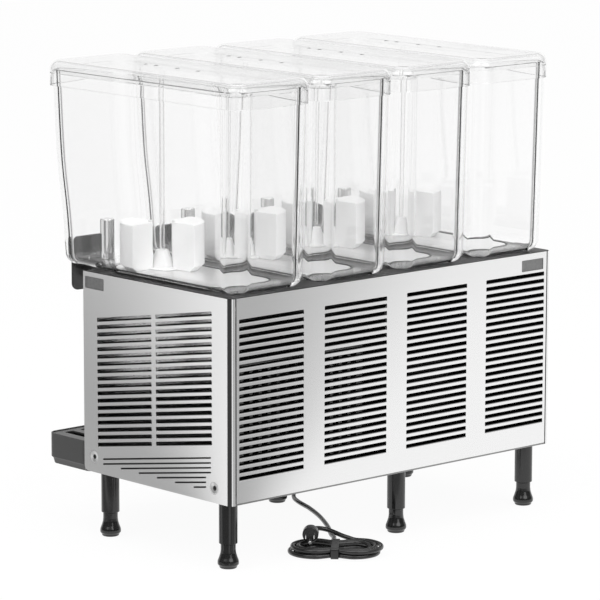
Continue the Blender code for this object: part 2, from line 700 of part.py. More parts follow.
def top_deck():
    half_x = HALF_WIDTH - SHEET - FIT
    front = -HALF_DEPTH + SHEET + FIT
    rear = HALF_DEPTH - SHEET - FIT
    corner = FOLD_RADIUS - SHEET
    rings = tray_rings([(DECK_TOP, half_x, front, rear, corner),
                        (DECK_TOP - DECK_DEPTH, half_x, front, rear, corner)])
    place("top_deck", shell_mesh("top_deck", rings, DECK_THICKNESS, True), BLACK)


def front_panel():
    edge = HALF_WIDTH - SHEET - FIT
    path = [(-edge, -HALF_DEPTH), (edge, -HALF_DEPTH)]
    low = LEG_HEIGHT
    high = PANEL_TOP - FASCIA_HEIGHT - FIT
    place("front_panel", sheet_mesh("front_panel", path, low, high, SHEET), STEEL)


def control_fascia():
    low = PANEL_TOP - FASCIA_HEIGHT
    high = PANEL_TOP - DECK_DEPTH - FIT
    half_x = HALF_WIDTH - SHEET - FIT
    rings = []
    for y in (-HALF_DEPTH - FASCIA_STEP, -HALF_DEPTH + FASCIA_RETURN):
        rings.append([(half_x, y, high), (-half_x, y, high), (-half_x, y, low), (half_x, y, low)])
    fascia = place("control_fascia", shell_mesh("control_fascia", rings, SHEET, True), STEEL)
    x, z = SWITCH_PLACE
    face = -HALF_DEPTH - FASCIA_STEP
    half = SWITCH_WIDTH / 2 + SWITCH_GAP
    tall = SWITCH_HEIGHT / 2 + SWITCH_GAP
    ears = []
    for side in (-1, 1):
        edges = sorted((side * half, side * (half + SWITCH_EAR)))
        ears.append(((x + edges[0], face + SHEET / 2, z - SWITCH_EAR),
                     (x + edges[1], face + SWITCH_DEPTH, z + SWITCH_EAR)))
    opening = box_mesh("switch_opening", ((x - half, face - CUT_OVERRUN, z - tall),
                                          (x + half, face + SHEET + FIT, z + tall)))
    pivot = cross_pin_mesh("switch_pivot", SWITCH_PIN_RADIUS + FIT, x - half - 2 * SWITCH_EAR,
                           x + half + 2 * SWITCH_EAR, face + SWITCH_PIVOT, z, 8)
    combine(fascia, cutter("switch_ears", box_mesh("switch_ears", *ears)), "UNION")
    combine(fascia, cutter("switch_opening", opening), "DIFFERENCE")
    combine(fascia, cutter("switch_pivot", pivot), "DIFFERENCE")


def power_switch():
    # a rocker whose two faces meet in a shallow valley; the origin is on its pivot
    x, z = SWITCH_PLACE
    face = -HALF_DEPTH - FASCIA_STEP
    half = SWITCH_HEIGHT / 2
    depth = SWITCH_DEPTH - SWITCH_PIVOT
    rise = SWITCH_PIVOT + SWITCH_PROUD
    valley = rise - SWITCH_VALLEY
    points = [(-half, -depth), (half, -depth), (half, rise), (0.0, valley), (-half, rise)]
    mesh = outline_mesh("power_switch", points, -SWITCH_WIDTH / 2, SWITCH_WIDTH / 2)
    # the outline's X becomes up, its Y becomes forward and its depth runs across
    turn = Matrix(((0, 0, 1, 0), (0, -1, 0, 0), (1, 0, 0, 0), (0, 0, 0, 1)))
    mesh.transform(turn)
    rocker = place("power_switch", mesh, BLACK, (x, face + SWITCH_PIVOT, z))
    rocker.rotation_euler.x = -SWITCH_TILT
    reach = SWITCH_WIDTH / 2 + SWITCH_GAP + SWITCH_EAR / 2
    pin_mesh = cross_pin_mesh("switch_pin", SWITCH_PIN_RADIUS, -reach, reach, 0.0, 0.0, 8)
    pin = cutter("switch_pin", pin_mesh)
    pin.location = (x, face + SWITCH_PIVOT, z)
    combine(rocker, pin, "UNION")


def leg_places():
    outer = HALF_WIDTH - LEG_INSET_X
    depth = HALF_DEPTH - LEG_INSET_Y
    places = []
    for y in (-depth, depth):
        for x in (-outer, MIDDLE_LEG_X, outer):
            places.append((x, y))
    return places


def legs():
    segments = 12
    bore = STEM_RADIUS + STEM_CLEARANCE
    top = LEG_HEIGHT - FIT
    reach = SLEEVE_LIFT + FIT + STEM_REACH
    low = SLEEVE_LIFT + FIT
    sleeve = [(0.0, top), (SLEEVE_RADIUS, top), (SLEEVE_RADIUS, low), (bore, low),
              (bore, reach + STEM_CLEARANCE), (0.0, reach + STEM_CLEARANCE)]
    foot = [(0.0, reach), (STEM_RADIUS, reach), (STEM_RADIUS, SLEEVE_LIFT), (FOOT_RADIUS, SLEEVE_LIFT),
            (FOOT_RADIUS, FOOT_FLARE_TOP), (FOOT_FLARE_RADIUS, FOOT_FLARE_HIGH),
            (FOOT_FLARE_RADIUS, FOOT_FLARE_LOW), (FOOT_PAD_RADIUS, 0.0), (0.0, 0.0)]
    for number, (x, y) in enumerate(leg_places(), start=1):
        sleeve_mesh = turned_mesh("leg_%d" % number, sleeve, segments)
        place("leg_%d" % number, sleeve_mesh, BLACK, (x, y, 0.0), smooth=True)
        foot_mesh = turned_mesh("foot_%d" % number, foot, segments)
        place("foot_%d" % number, foot_mesh, BLACK, (x, y, 0.0), smooth=True)


def bowl_section(share):
    # half width, front and rear of the bowl's outer wall at a share of the wall above its rounded foot
    front = 0.0
    previous = (0.0, 0.0)
    for height_share, sweep in FRONT_SWEEP_SHARES:
        if share <= height_share:
            span = (share - previous[0]) / (height_share - previous[0])
            front = previous[1] + (sweep - previous[1]) * span
            break
        previous = (height_share, sweep)
    half_x = BOWL_WIDTH / 2 - BOWL_SIDE_DRAFT * (1 - share)
    front_y = -(BOWL_FRONT - BOWL_FRONT_DRAFT * (1 - front))
    rear_y = BOWL_REAR - BOWL_REAR_DRAFT * (1 - share)
    return half_x, front_y, rear_y


def bowl_rings():
    rings = []
    half_x, front, rear = bowl_section(0.0)
    for turn in BOWL_FLOOR_TURNS:
        angle = math.radians(turn)
        inset = BOWL_FLOOR_RADIUS * (1 - math.sin(angle))
        z = BOWL_BASE + BOWL_FLOOR_RADIUS * (1 - math.cos(angle))
        outline = rounded_rectangle(-half_x + inset, half_x - inset, front + inset, rear - inset,
                                    BOWL_CORNER - inset, 3)
        rings.append([(x, y, z) for x, y in outline])
    foot = BOWL_BASE + BOWL_FLOOR_RADIUS
    for share in [0.0] + [height_share for height_share, _ in FRONT_SWEEP_SHARES]:
        half_x, front, rear = bowl_section(share)
        z = foot + (BOWL_RIM - foot) * share
        outline = rounded_rectangle(-half_x, half_x, front, rear, BOWL_CORNER, 3)
        rings.append([(x, y, z) for x, y in outline])
    return rings


def plate_outline(grow):
    front = HUB_Y - PLATE_FRONT - grow
    rear = HUB_Y - PLATE_FRONT + PLATE_LENGTH + grow
    half = PLATE_WIDTH / 2 + grow
    return rounded_rectangle(-half, half, front, rear, PLATE_CORNER + grow, 3)


def bowl(number, x):
    name = "bowl_%d" % number
    shell = shell_mesh(name, bowl_rings(), BOWL_WALL, True)
    piece = place(name, shell, CLEAR, (x, 0.0, 0.0), smooth=True)
    low = BOWL_BASE - SPOUT_DROP
    middle = BOWL_BASE + BOWL_WALL / 2
    ear_top = BOWL_BASE + BOWL_WALL * 2 / 3
    spout_mesh = upright_mesh(name + "_spout", SPOUT_RADIUS, 0.0, TAP_Y, low, middle, 12)
    spout = cutter(name + "_spout", spout_mesh)
    ears = []
    tip = -PIVOT_FORWARD - EAR_TIP_ROUND
    ear_low = BOWL_BASE - PIVOT_DROP - EAR_TIP_ROUND
    for side in (-1, 1):
        ears.append(((side * EAR_OFFSET - EAR_THICKNESS / 2, TAP_Y + tip, ear_low),
                     (side * EAR_OFFSET + EAR_THICKNESS / 2, TAP_Y - EAR_REACH, ear_top)))
    ear_tool = cutter(name + "_ears", box_mesh(name + "_ears", *ears))
    well_mesh = outline_mesh(name + "_well", plate_outline(GASKET_WIDTH + 2 * FIT),
                             BOWL_BASE - CUT_OVERRUN, BOWL_FLOOR + CUT_OVERRUN)
    well = cutter(name + "_well", well_mesh)
    bore = cutter(name + "_bore", upright_mesh(name + "_bore", SPOUT_BORE, 0.0, TAP_Y,
                                               low - CUT_OVERRUN, BOWL_FLOOR + CUT_OVERRUN, 12))
    reach = EAR_OFFSET + EAR_THICKNESS / 2 + CUT_OVERRUN
    pivot_mesh = cross_pin_mesh(name + "_pivot", PIVOT_PIN_RADIUS + PIVOT_CLEARANCE, -reach, reach,
                                TAP_Y - PIVOT_FORWARD, BOWL_BASE - PIVOT_DROP, 8)
    pivot = cutter(name + "_pivot", pivot_mesh)
    for tool in (spout, ear_tool, well, bore, pivot):
        tool.location.x = x
    combine(piece, spout, "UNION")
    combine(piece, ear_tool, "UNION")
    combine(piece, well, "DIFFERENCE")
    combine(piece, bore, "DIFFERENCE")
    combine(piece, pivot, "DIFFERENCE")


def lid(number, x):
    name = "lid_%d" % number
    half_x = BOWL_WIDTH / 2 + LID_CLEARANCE + LID_WALL
    front = -(BOWL_FRONT + LID_FRONT_ROOM + LID_WALL)
    rear = BOWL_REAR + LID_CLEARANCE + LID_WALL
    crown_foot = BOWL_RIM + FIT
    rings = []
    levels = [(BOWL_RIM - LID_SKIRT, 0.0)]
    for rise, inward in LID_SHOULDER_SHARES:
        levels.append((crown_foot + LID_CROWN * rise, LID_SHOULDER * inward))
    for z, inset in levels:
        outline = rounded_rectangle(-half_x + inset, half_x - inset, front + inset, rear - inset,
                                    LID_CORNER - inset, 3)
        rings.append([(px, py, z) for px, py in outline])
    place(name, shell_mesh(name, rings, LID_WALL, False), CLEAR, (x, 0.0, 0.0), smooth=True)


def cold_plate(number, x):
    name = "cold_plate_%d" % number
    mesh = outline_mesh(name, plate_outline(0.0), DECK_TOP + FIT, BOWL_FLOOR + PLATE_PROUD)
    place(name, mesh, STEEL, (x, 0.0, 0.0))


def gasket(number, x):
    name = "bowl_gasket_%d" % number
    ring = outline_mesh(name, plate_outline(FIT + GASKET_WIDTH), DECK_TOP + FIT, BOWL_FLOOR)
    piece = place(name, ring, RUBBER, (x, 0.0, 0.0))
    hole = cutter(name + "_hole", outline_mesh(name + "_hole", plate_outline(FIT),
                                               DECK_TOP - CUT_OVERRUN, BOWL_FLOOR + CUT_OVERRUN))
    hole.location.x = x
    combine(piece, hole, "DIFFERENCE")


def blade_ring(direction, reach, height):
    points = []
    for radius, order in ((reach, 1), (BLADE_ROOT, -1)):
        for step in range(BLADE_STEPS + 1)[::order]:
            angle = direction + BLADE_SPREAD * (step / BLADE_STEPS - 0.5)
            points.append((radius * math.cos(angle), radius * math.sin(angle), height))
    return points


def agitator(number, x):
    name = "agitator_%d" % number
    low = BOWL_FLOOR + PLATE_PROUD + FIT
    disc_top = low + HUB_DISC
    cone_top = disc_top + CONE_HEIGHT
    tube_top = BOWL_RIM + LID_CROWN - LID_WALL - TUBE_LID_GAP
    profile = [(0.0, tube_top), (TUBE_RADIUS, tube_top), (TUBE_RADIUS, cone_top),
               (CONE_TOP_RADIUS, cone_top), (CONE_FOOT_RADIUS, disc_top), (HUB_RADIUS, disc_top),
               (HUB_RADIUS, low), (0.0, low)]
    piece = place(name, turned_mesh(name, profile, 12), WHITE, (x, HUB_Y, 0.0), smooth=True)
    for side, direction in enumerate((BLADE_TURN, BLADE_TURN + math.pi)):
        rings = [blade_ring(direction, BLADE_REACH - BLADE_BEVEL, low),
                 blade_ring(direction, BLADE_REACH, low + BLADE_BEVEL),
                 blade_ring(direction, BLADE_REACH, low + BLADE_HEIGHT)]
        tool = cutter(name + "_blade_%d" % side, lofted_mesh(name + "_blade_%d" % side, rings))
        tool.location = (x, HUB_Y, 0.0)
        combine(piece, tool, "UNION")


def plunger(number, x):
    name = "valve_plunger_%d" % number
    low = BOWL_FLOOR + 2 * FIT
    top = low + PLUNGER_HEIGHT
    rod_low = BOWL_BASE - STEM_ROD_DROP
    round_over = PLUNGER_RADIUS / 8
    roof = top - PLUNGER_WALL
    inner = PLUNGER_RADIUS - PLUNGER_WALL
    profile = [(0.0, top), (PLUNGER_RADIUS - round_over, top), (PLUNGER_RADIUS, top - round_over),
               (PLUNGER_RADIUS, low), (inner, low), (inner, roof), (STEM_ROD_RADIUS, roof),
               (STEM_ROD_RADIUS, rod_low), (0.0, rod_low)]
    place(name, turned_mesh(name, profile, 12), CHROME, (x, TAP_Y, 0.0), smooth=True)


def dispense_handle(number, x):
    # the origin is on the pivot, and the plate, arms, pin and finger are one moulding
    name = "dispense_handle_%d" % number
    pivot_y = TAP_Y - PIVOT_FORWARD
    pivot_z = BOWL_BASE - PIVOT_DROP
    back = -HANDLE_BACK - pivot_y
    half = HANDLE_WIDTH / 2
    outline = rounded_rectangle(-half, half, PIVOT_DROP - HANDLE_DROP, PIVOT_DROP + HANDLE_RISE,
                                HANDLE_CORNER, 3)
    plate = outline_mesh(name, outline, 0.0, HANDLE_THICKNESS)
    plate.transform(Matrix.Translation((0.0, back, 0.0)) @ Matrix.Rotation(math.pi / 2, 4, "X"))
    piece = place(name, plate, BLACK, (x, pivot_y, pivot_z))
    inner = EAR_OFFSET + EAR_THICKNESS / 2 + ARM_GAP
    outer = inner + ARM_THICKNESS
    arms = []
    for side in (-1, 1):
        edges = sorted((side * inner, side * outer))
        arms.append(((edges[0], back - HANDLE_THICKNESS / 2, -ARM_HEIGHT / 2),
                     (edges[1], ARM_HEIGHT / 2, ARM_HEIGHT / 2)))
    finger_top = -(STEM_ROD_DROP - PIVOT_DROP) - FIT
    finger = ((-FINGER_WIDTH / 2, back - HANDLE_THICKNESS / 2, finger_top - FINGER_THICKNESS),
              (FINGER_WIDTH / 2, PIVOT_FORWARD + STEM_ROD_RADIUS, finger_top))
    arm_tool = cutter(name + "_arms", box_mesh(name + "_arms", *arms, finger))
    middle = (inner + outer) / 2
    pin_mesh = cross_pin_mesh(name + "_pin", PIVOT_PIN_RADIUS, -middle, middle, 0.0, 0.0, 12)
    pin = cutter(name + "_pin", pin_mesh)
    for tool in (arm_tool, pin):
        tool.location = (x, pivot_y, pivot_z)
        combine(piece, tool, "UNION")


def drip_tray():
    half_x = TRAY_WIDTH / 2
    inner = TRAY_STEP_INSET
    step = TRAY_BOTTOM + TRAY_STEP
    levels = [(TRAY_BOTTOM, half_x - 2 * inner, -TRAY_FRONT + 2 * inner, -TRAY_REAR - inner,
               TRAY_CORNER - 2 * inner),
              (step, half_x - inner, -TRAY_FRONT + inner, -TRAY_REAR, TRAY_CORNER - inner),
              (step + inner, half_x, -TRAY_FRONT, -TRAY_REAR, TRAY_CORNER),
              (TRAY_TOP, half_x, -TRAY_FRONT, -TRAY_REAR, TRAY_CORNER)]
    tray = place("drip_tray", shell_mesh("drip_tray", tray_rings(levels), TRAY_WALL, True), BLACK)
    ledge_top = TRAY_TOP - GRILLE_SINK - GRILLE_THICKNESS - FIT
    wall = TRAY_WALL / 2
    outline = rounded_rectangle(-half_x + wall, half_x - wall, -TRAY_FRONT + wall, -TRAY_REAR - wall,
                                TRAY_CORNER - wall, 3)
    ring = outline_mesh("tray_ledge", outline, ledge_top - GRILLE_LEDGE / 2, ledge_top)
    ledge = cutter("tray_ledge", ring)
    inset = TRAY_WALL + GRILLE_LEDGE
    outline = rounded_rectangle(-half_x + inset, half_x - inset, -TRAY_FRONT + inset,
                                -TRAY_REAR - inset, TRAY_CORNER - inset, 3)
    opening = outline_mesh("tray_ledge_opening", outline, ledge_top - GRILLE_LEDGE,
                           ledge_top + CUT_OVERRUN)
    combine(ledge, cutter("tray_ledge_opening", opening), "DIFFERENCE")
    combine(tray, ledge, "UNION")


def drip_grille():
    inset = TRAY_WALL + 2 * FIT
    half_x = TRAY_WIDTH / 2 - inset
    front = -TRAY_FRONT + inset
    rear = -TRAY_REAR - inset
    high = TRAY_TOP - GRILLE_SINK
    outline = rounded_rectangle(-half_x, half_x, front, rear, TRAY_CORNER - inset, 3)
    mesh = outline_mesh("drip_grille", outline, high - GRILLE_THICKNESS, high)
    grille = place("drip_grille", mesh, BLACK)
    span = 2 * (half_x - GRILLE_RIM) / GRILLE_SLOTS
    slots = []
    for index in range(GRILLE_SLOTS):
        middle = -half_x + GRILLE_RIM + span * (index + 0.5)
        reach = span * GRILLE_SLOT_SHARE / 2
        slots.append(((middle - reach, front + GRILLE_RIM, high - GRILLE_THICKNESS - CUT_OVERRUN),
                      (middle + reach, rear - GRILLE_RIM, high + CUT_OVERRUN)))
    combine(grille, cutter("drip_grille_slots", box_mesh("drip_grille_slots", *slots)), "DIFFERENCE")


def tray_bracket():
    # a flange on the front panel and two arms under the tray
    half = BRACKET_WIDTH / 2
    top = TRAY_BOTTOM - FIT
    flange_rear = -HALF_DEPTH - FIT
    flange_front = flange_rear - BRACKET_SHEET
    boxes = [((-half, flange_front, top - BRACKET_SHEET), (half, flange_rear, top + BRACKET_FLANGE))]
    mesh = box_mesh("tray_bracket", *boxes)
    piece = place("tray_bracket", mesh, DARK_STEEL)
    arms = []
    for side in (-1, 1):
        edges = sorted((side * half, side * (half - BRACKET_ARM_WIDTH)))
        arms.append(((edges[0], -HALF_DEPTH - BRACKET_REACH, top - BRACKET_SHEET),
                     (edges[1], flange_rear - BRACKET_SHEET / 2, top)))
    combine(piece, cutter("tray_bracket_arms", box_mesh("tray_bracket_arms", *arms)), "UNION")


def compressor():
    x, y = COMPRESSOR_PLACE
    width, depth, thickness = COMPRESSOR_PLATE
    plate_low = PAN_TOP + FIT + COMPRESSOR_FOOT
    plate_top = plate_low + thickness
    top = plate_top + COMPRESSOR_HEIGHT
    seam = plate_top + COMPRESSOR_HEIGHT / 2
    dome = COMPRESSOR_RADIUS / 3
    bead = COMPRESSOR_RADIUS + COMPRESSOR_WELD
    seat = plate_low + thickness / 2
    profile = [(0.0, top), (COMPRESSOR_RADIUS - dome, top), (COMPRESSOR_RADIUS, top - dome),
               (COMPRESSOR_RADIUS, seam + COMPRESSOR_WELD), (bead, seam),
               (COMPRESSOR_RADIUS, seam - COMPRESSOR_WELD), (COMPRESSOR_RADIUS, seat), (0.0, seat)]
    shell = place("compressor", turned_mesh("compressor", profile, 20), BLACK, (x, y, 0.0), smooth=True)
    plate = box_mesh("compressor_plate", ((-width / 2, -depth / 2, plate_low),
                                          (width / 2, depth / 2, plate_top)))
    feet = bmesh.new()
    for side in (-1, 1):
        for end in (-1, 1):
            place_x = side * (width / 2 - COMPRESSOR_FOOT)
            place_y = end * (depth / 2 - COMPRESSOR_FOOT)
            add_cylinder(feet, COMPRESSOR_FOOT * 2 / 3, (place_x, place_y, PAN_TOP + FIT),
                         (place_x, place_y, plate_low + thickness / 2), 8)
    feet_mesh = finish_mesh(feet, "compressor_feet")
    for tool in (cutter("compressor_plate", plate), cutter("compressor_feet", feet_mesh)):
        tool.location = (x, y, 0.0)
        combine(shell, tool, "UNION")


def condenser():
    low = PAN_TOP + FIT
    (left, right), (front, rear) = CONDENSER_X, CONDENSER_Y
    block = box_mesh("condenser", ((left, front, low), (right, rear, low + CONDENSER_HEIGHT)))
    piece = place("condenser", block, DARK_STEEL)
    core_front = rear - CONDENSER_CORE
    tunnel = bmesh.new()
    middle = (left + right) / 2
    height = low + FAN_HEIGHT
    depth = core_front + FIT - (front - CUT_OVERRUN)
    place_tunnel = Matrix.Translation((middle, front - CUT_OVERRUN + depth / 2, height))
    bmesh.ops.create_cone(tunnel, cap_ends=True, segments=24, radius1=FAN_TUNNEL_RADIUS,
                          radius2=FAN_TUNNEL_RADIUS, depth=depth,
                          matrix=place_tunnel @ Matrix.Rotation(math.pi / 2, 4, "X"))
    slots = []
    pitch = (right - left - 2 * CONDENSER_RIM) / CONDENSER_SLOTS
    for index in range(CONDENSER_SLOTS):
        place_x = left + CONDENSER_RIM + pitch * (index + 0.5)
        slots.append(((place_x - pitch / 3, core_front, low + CONDENSER_RIM),
                      (place_x + pitch / 3, rear + CUT_OVERRUN, low + CONDENSER_HEIGHT - CONDENSER_RIM)))
    combine(piece, cutter("condenser_tunnel", finish_mesh(tunnel, "condenser_tunnel")), "DIFFERENCE")
    combine(piece, cutter("condenser_slots", box_mesh("condenser_slots", *slots)), "DIFFERENCE")


def fan_and_motor():
    x = sum(CONDENSER_X) / 2
    z = PAN_TOP + FIT + FAN_HEIGHT
    half = FAN_HUB_DEPTH / 2
    bore = MOTOR_SHAFT_RADIUS + FIT
    hub_profile = [(0.0, half), (FAN_HUB_RADIUS, half), (FAN_HUB_RADIUS, -half), (bore, -half),
                   (bore, half - bore), (0.0, half - bore)]
    hub = turned_mesh("fan", hub_profile, 16)
    hub.transform(Matrix.Rotation(-math.pi / 2, 4, "X"))
    fan = place("fan", hub, WHITE, (x, FAN_Y, z), smooth=True)
    for number in range(FAN_BLADES):
        blade = bmesh.new()
        turn = Matrix.Rotation(math.tau * number / FAN_BLADES, 4, "Y")
        middle = (FAN_RADIUS + FAN_HUB_RADIUS * 2 / 3) / 2
        length = FAN_RADIUS - FAN_HUB_RADIUS * 2 / 3
        pitch = Matrix.Rotation(FAN_BLADE_PITCH, 4, "X")
        matrix = turn @ Matrix.Translation((middle, 0.0, 0.0)) @ pitch
        size = Matrix.Diagonal((length, FAN_BLADE_THICKNESS, FAN_BLADE_CHORD, 1.0))
        bmesh.ops.create_cube(blade, size=1.0, matrix=matrix @ size)
        tool = cutter("fan_blade_%d" % number, finish_mesh(blade, "fan_blade_%d" % number))
        tool.location = (x, FAN_Y, z)
        combine(fan, tool, "UNION")
    face = -half - MOTOR_GAP
    tip = half - bore - FIT
    profile = [(0.0, tip), (MOTOR_SHAFT_RADIUS, tip), (MOTOR_SHAFT_RADIUS, face), (MOTOR_RADIUS, face),
               (MOTOR_RADIUS, face - MOTOR_LENGTH), (0.0, face - MOTOR_LENGTH)]
    body = turned_mesh("fan_motor", profile, 16)
    body.transform(Matrix.Rotation(-math.pi / 2, 4, "X"))
    motor = place("fan_motor", body, DARK_STEEL, (x, FAN_Y, z), smooth=True)
    width, thickness = MOTOR_BRACKET
    low = -FAN_HEIGHT
    middle = face - MOTOR_LENGTH / 2
    upright = ((-width / 2, middle - thickness / 2, low + thickness / 2),
               (width / 2, middle + thickness / 2, 0.0))
    foot = ((-width / 2 - thickness, middle - MOTOR_FOOT / 2, low),
            (width / 2 + thickness, middle + MOTOR_FOOT / 2, low + thickness))
    for label, box in (("motor_bracket", upright), ("motor_foot", foot)):
        tool = cutter(label, box_mesh(label, box))
        tool.location = (x, FAN_Y, z)
        combine(motor, tool, "UNION")


def smooth_route(points, step):
    # points read at an even step from a smooth curve through the route's own points
    ends = [points[0] * 2 - points[1]] + list(points) + [points[-1] * 2 - points[-2]]
    dense = []
    for index in range(1, len(ends) - 2):
        before, first, second, after = ends[index - 1:index + 3]
        for part in range(ROUTE_PARTS):
            t = part / ROUTE_PARTS
            dense.append(0.5 * (2 * first + (second - before) * t
                                + (2 * before - 5 * first + 4 * second - after) * t * t
                                + (3 * first - before - 3 * second + after) * t ** 3))
    dense.append(Vector(points[-1]))
    lengths = [0.0]
    for first, second in zip(dense, dense[1:]):
        lengths.append(lengths[-1] + (second - first).length)
    count = max(2, round(lengths[-1] / step))
    even = []
    cursor = 0
    for number in range(count + 1):
        wanted = lengths[-1] * number / count
        while cursor < len(lengths) - 2 and lengths[cursor + 1] < wanted:
            cursor += 1
        span = lengths[cursor + 1] - lengths[cursor]
        share = min(1.0, max(0.0, (wanted - lengths[cursor]) / span))
        even.append(dense[cursor].lerp(dense[cursor + 1], share))
    return even, lengths[-1]


def tube(name, points, resolution):
    curve = bpy.data.curves.new(name, "CURVE")
    curve.dimensions = "3D"
    curve.bevel_depth = CORD_RADIUS
    curve.bevel_resolution = resolution
    curve.use_fill_caps = True
    curve.twist_mode = "MINIMUM"
    spline = curve.splines.new("POLY")
    spline.points.add(len(points) - 1)
    for point, place_at in zip(spline.points, points):
        point.co = (*place_at, 1.0)
    curve.materials.append(RUBBER)
    obj = bpy.data.objects.new(name, curve)
    PARTS.objects.link(obj)
    obj.parent = FRAME
    return obj


def hank_to_cabinet(along, across, height):
    # the hank lies aslant: its length runs to the front right and its width to the rear right
    slant = math.sqrt(0.5)
    x = HANK_PLACE[0] + (along + across) * slant
    y = HANK_PLACE[1] + (across - along) * slant
    return Vector((x, y, height))


def hank_point(index, half_width, height):
    # one of the 24 points of a loop: rear run, right end, front run, left end
    turn_steps = 2 * (HANK_RUN_STEPS + HANK_END_STEPS)
    step = index % turn_steps
    half_turn = HANK_RUN_STEPS + HANK_END_STEPS
    side = -1 if step < half_turn else 1
    step -= 0 if side < 0 else half_turn
    if step < HANK_RUN_STEPS:
        along = HANK_STRAIGHT * (2 * step / HANK_RUN_STEPS - 1)
        drawn = HANK_WAIST * (1 + math.cos(math.pi * along / HANK_STRAIGHT)) / 2
        return hank_to_cabinet(-side * along, side * (half_width - drawn), height)
    angle = math.pi * (step - HANK_RUN_STEPS) / HANK_END_STEPS
    along = HANK_STRAIGHT + half_width * math.sin(angle)
    return hank_to_cabinet(-side * along, side * half_width * math.cos(angle), height)


def hank_route():
    points = []
    across = -HANK_OUTER - HANK_ENTRY_RADIUS
    points.append(hank_to_cabinet(HANK_STRAIGHT - HANK_ENTRY_RADIUS, across - 2 * CORD_RADIUS, HANK_LIFT))
    for step in range(HANK_ENTRY_STEPS):
        angle = math.pi - math.pi / 2 * step / HANK_ENTRY_STEPS
        points.append(hank_to_cabinet(HANK_STRAIGHT + HANK_ENTRY_RADIUS * math.cos(angle),
                                      across + HANK_ENTRY_RADIUS * math.sin(angle), HANK_LIFT))
    turn_steps = 2 * (HANK_RUN_STEPS + HANK_END_STEPS)
    climb_start = 2 * turn_steps + HANK_RUN_STEPS + HANK_END_STEPS
    for number in range(HANK_INWARD + HANK_OUTWARD + 1):
        index = HANK_RUN_STEPS + number
        inward = min(number, HANK_INWARD)
        outward = max(0, number - HANK_INWARD)
        half_width = HANK_OUTER - HANK_STEP * (inward - outward) / turn_steps
        climb = min(1.0, max(0.0, (index - climb_start) / HANK_RUN_STEPS))
        height = HANK_LIFT + HANK_LAYER * (3 * climb ** 2 - 2 * climb ** 3)
        points.append(hank_point(index, half_width, height))
    along, across, height = PLUG_PLACE
    straight = hank_to_cabinet(along, across - FIT - 2 * CORD_RADIUS, height)
    tail = [points[-1]] + [hank_to_cabinet(*place_at) for place_at in TAIL_ROUTE] + [straight]
    curved, _ = smooth_route(tail, CORD_STEP * 2 / 3)
    return points + curved[1:] + [hank_to_cabinet(along, across - FIT, height)]


def least_gap(points):
    dense = []
    travelled = 0.0
    for first, second in zip(points, points[1:]):
        for part in range(4):
            along = travelled + (second - first).length * part / 4
            dense.append((first.lerp(second, part / 4), along))
        travelled += (second - first).length
    least = 1.0
    for index, (first, from_start) in enumerate(dense):
        for second, further in dense[index + 1:]:
            if further - from_start > 12 * CORD_RADIUS:
                least = min(least, (second - first).length)
    return least - 2 * CORD_RADIUS, travelled


def power_cord():
    x, y = GLAND_PLACE
    tip = LEG_HEIGHT - FIT - GLAND_FLANGE - GLAND_TAPER
    profile = [(0.0, PAN_TOP + GLAND_FLANGE), (GLAND_NECK_RADIUS, PAN_TOP + GLAND_FLANGE),
               (GLAND_NECK_RADIUS, LEG_HEIGHT - FIT), (GLAND_FLANGE_RADIUS, LEG_HEIGHT - FIT),
               (GLAND_FLANGE_RADIUS, LEG_HEIGHT - FIT - GLAND_FLANGE),
               (GLAND_NECK_RADIUS, LEG_HEIGHT - FIT - GLAND_FLANGE), (GLAND_TIP_RADIUS, tip), (0.0, tip)]
    place("cord_gland", turned_mesh("cord_gland", profile, 12), RUBBER, (x, y, 0.0), smooth=True)
    hank = hank_route()
    tube("power_cord_hank", hank, 1)
    begin = Vector((x, y, tip - FIT))
    direction = (hank[1] - hank[0]).normalized()
    end = hank[0] - direction * FIT
    route = [begin] + [Vector((x + right, y + back, height)) for right, back, height in LEAD_ROUTE]
    route += [end - direction * 6 * CORD_RADIUS, end]
    lead, lead_length = smooth_route(route, CORD_STEP)
    lead.insert(1, begin - Vector((0.0, 0.0, 2 * CORD_RADIUS)))
    lead.insert(-1, end - direction * 2 * CORD_RADIUS)
    tube("power_cord_lead", lead, 2)
    gap, hank_length = least_gap(hank)
    print("cord: lead %.3f m, hank %.3f m, least gap %.2f mm" % (lead_length, hank_length, gap * 1000))


def power_plug():
    # the plug points to the rear right and lies on the hank
    profile = [(0.0, 0.0), (PLUG_NECK_RADIUS, 0.0), (PLUG_RADIUS, PLUG_NECK), (PLUG_RADIUS, PLUG_LENGTH),
               (0.0, PLUG_LENGTH)]
    body = turned_mesh("power_plug", profile[::-1], 16)
    lay = Matrix.Rotation(-math.pi / 2, 4, "X")
    aim = Matrix.Rotation(-math.pi / 4, 4, "Z")
    body.transform(aim @ lay)
    at = hank_to_cabinet(*PLUG_PLACE)
    plug = place("power_plug", body, BLACK, at, smooth=True)
    thickness, length, width = PRONG_SIZE
    prongs = []
    for side in (-1, 1):
        middle = side * PRONG_SPREAD / 2
        prongs.append(((middle - thickness / 2, PLUG_LENGTH - thickness, -width / 2),
                       (middle + thickness / 2, PLUG_LENGTH + length, width / 2)))
    blades = box_mesh("plug_prongs", *prongs)
    blades.transform(aim)
    pin = bmesh.new()
    add_cylinder(pin, GROUND_PIN_RADIUS, (0.0, 0.0, 0.0), (0.0, 0.0, length + thickness), 8)
    pin_mesh = finish_mesh(pin, "plug_pin")
    seat = Matrix.Translation((0.0, PLUG_LENGTH - thickness, -PLUG_RADIUS * 2 / 3))
    pin_mesh.transform(aim @ seat @ lay)
    for tool in (cutter("plug_prongs", blades), cutter("plug_pin", pin_mesh)):
        tool.location = at
        combine(plug, tool, "UNION")


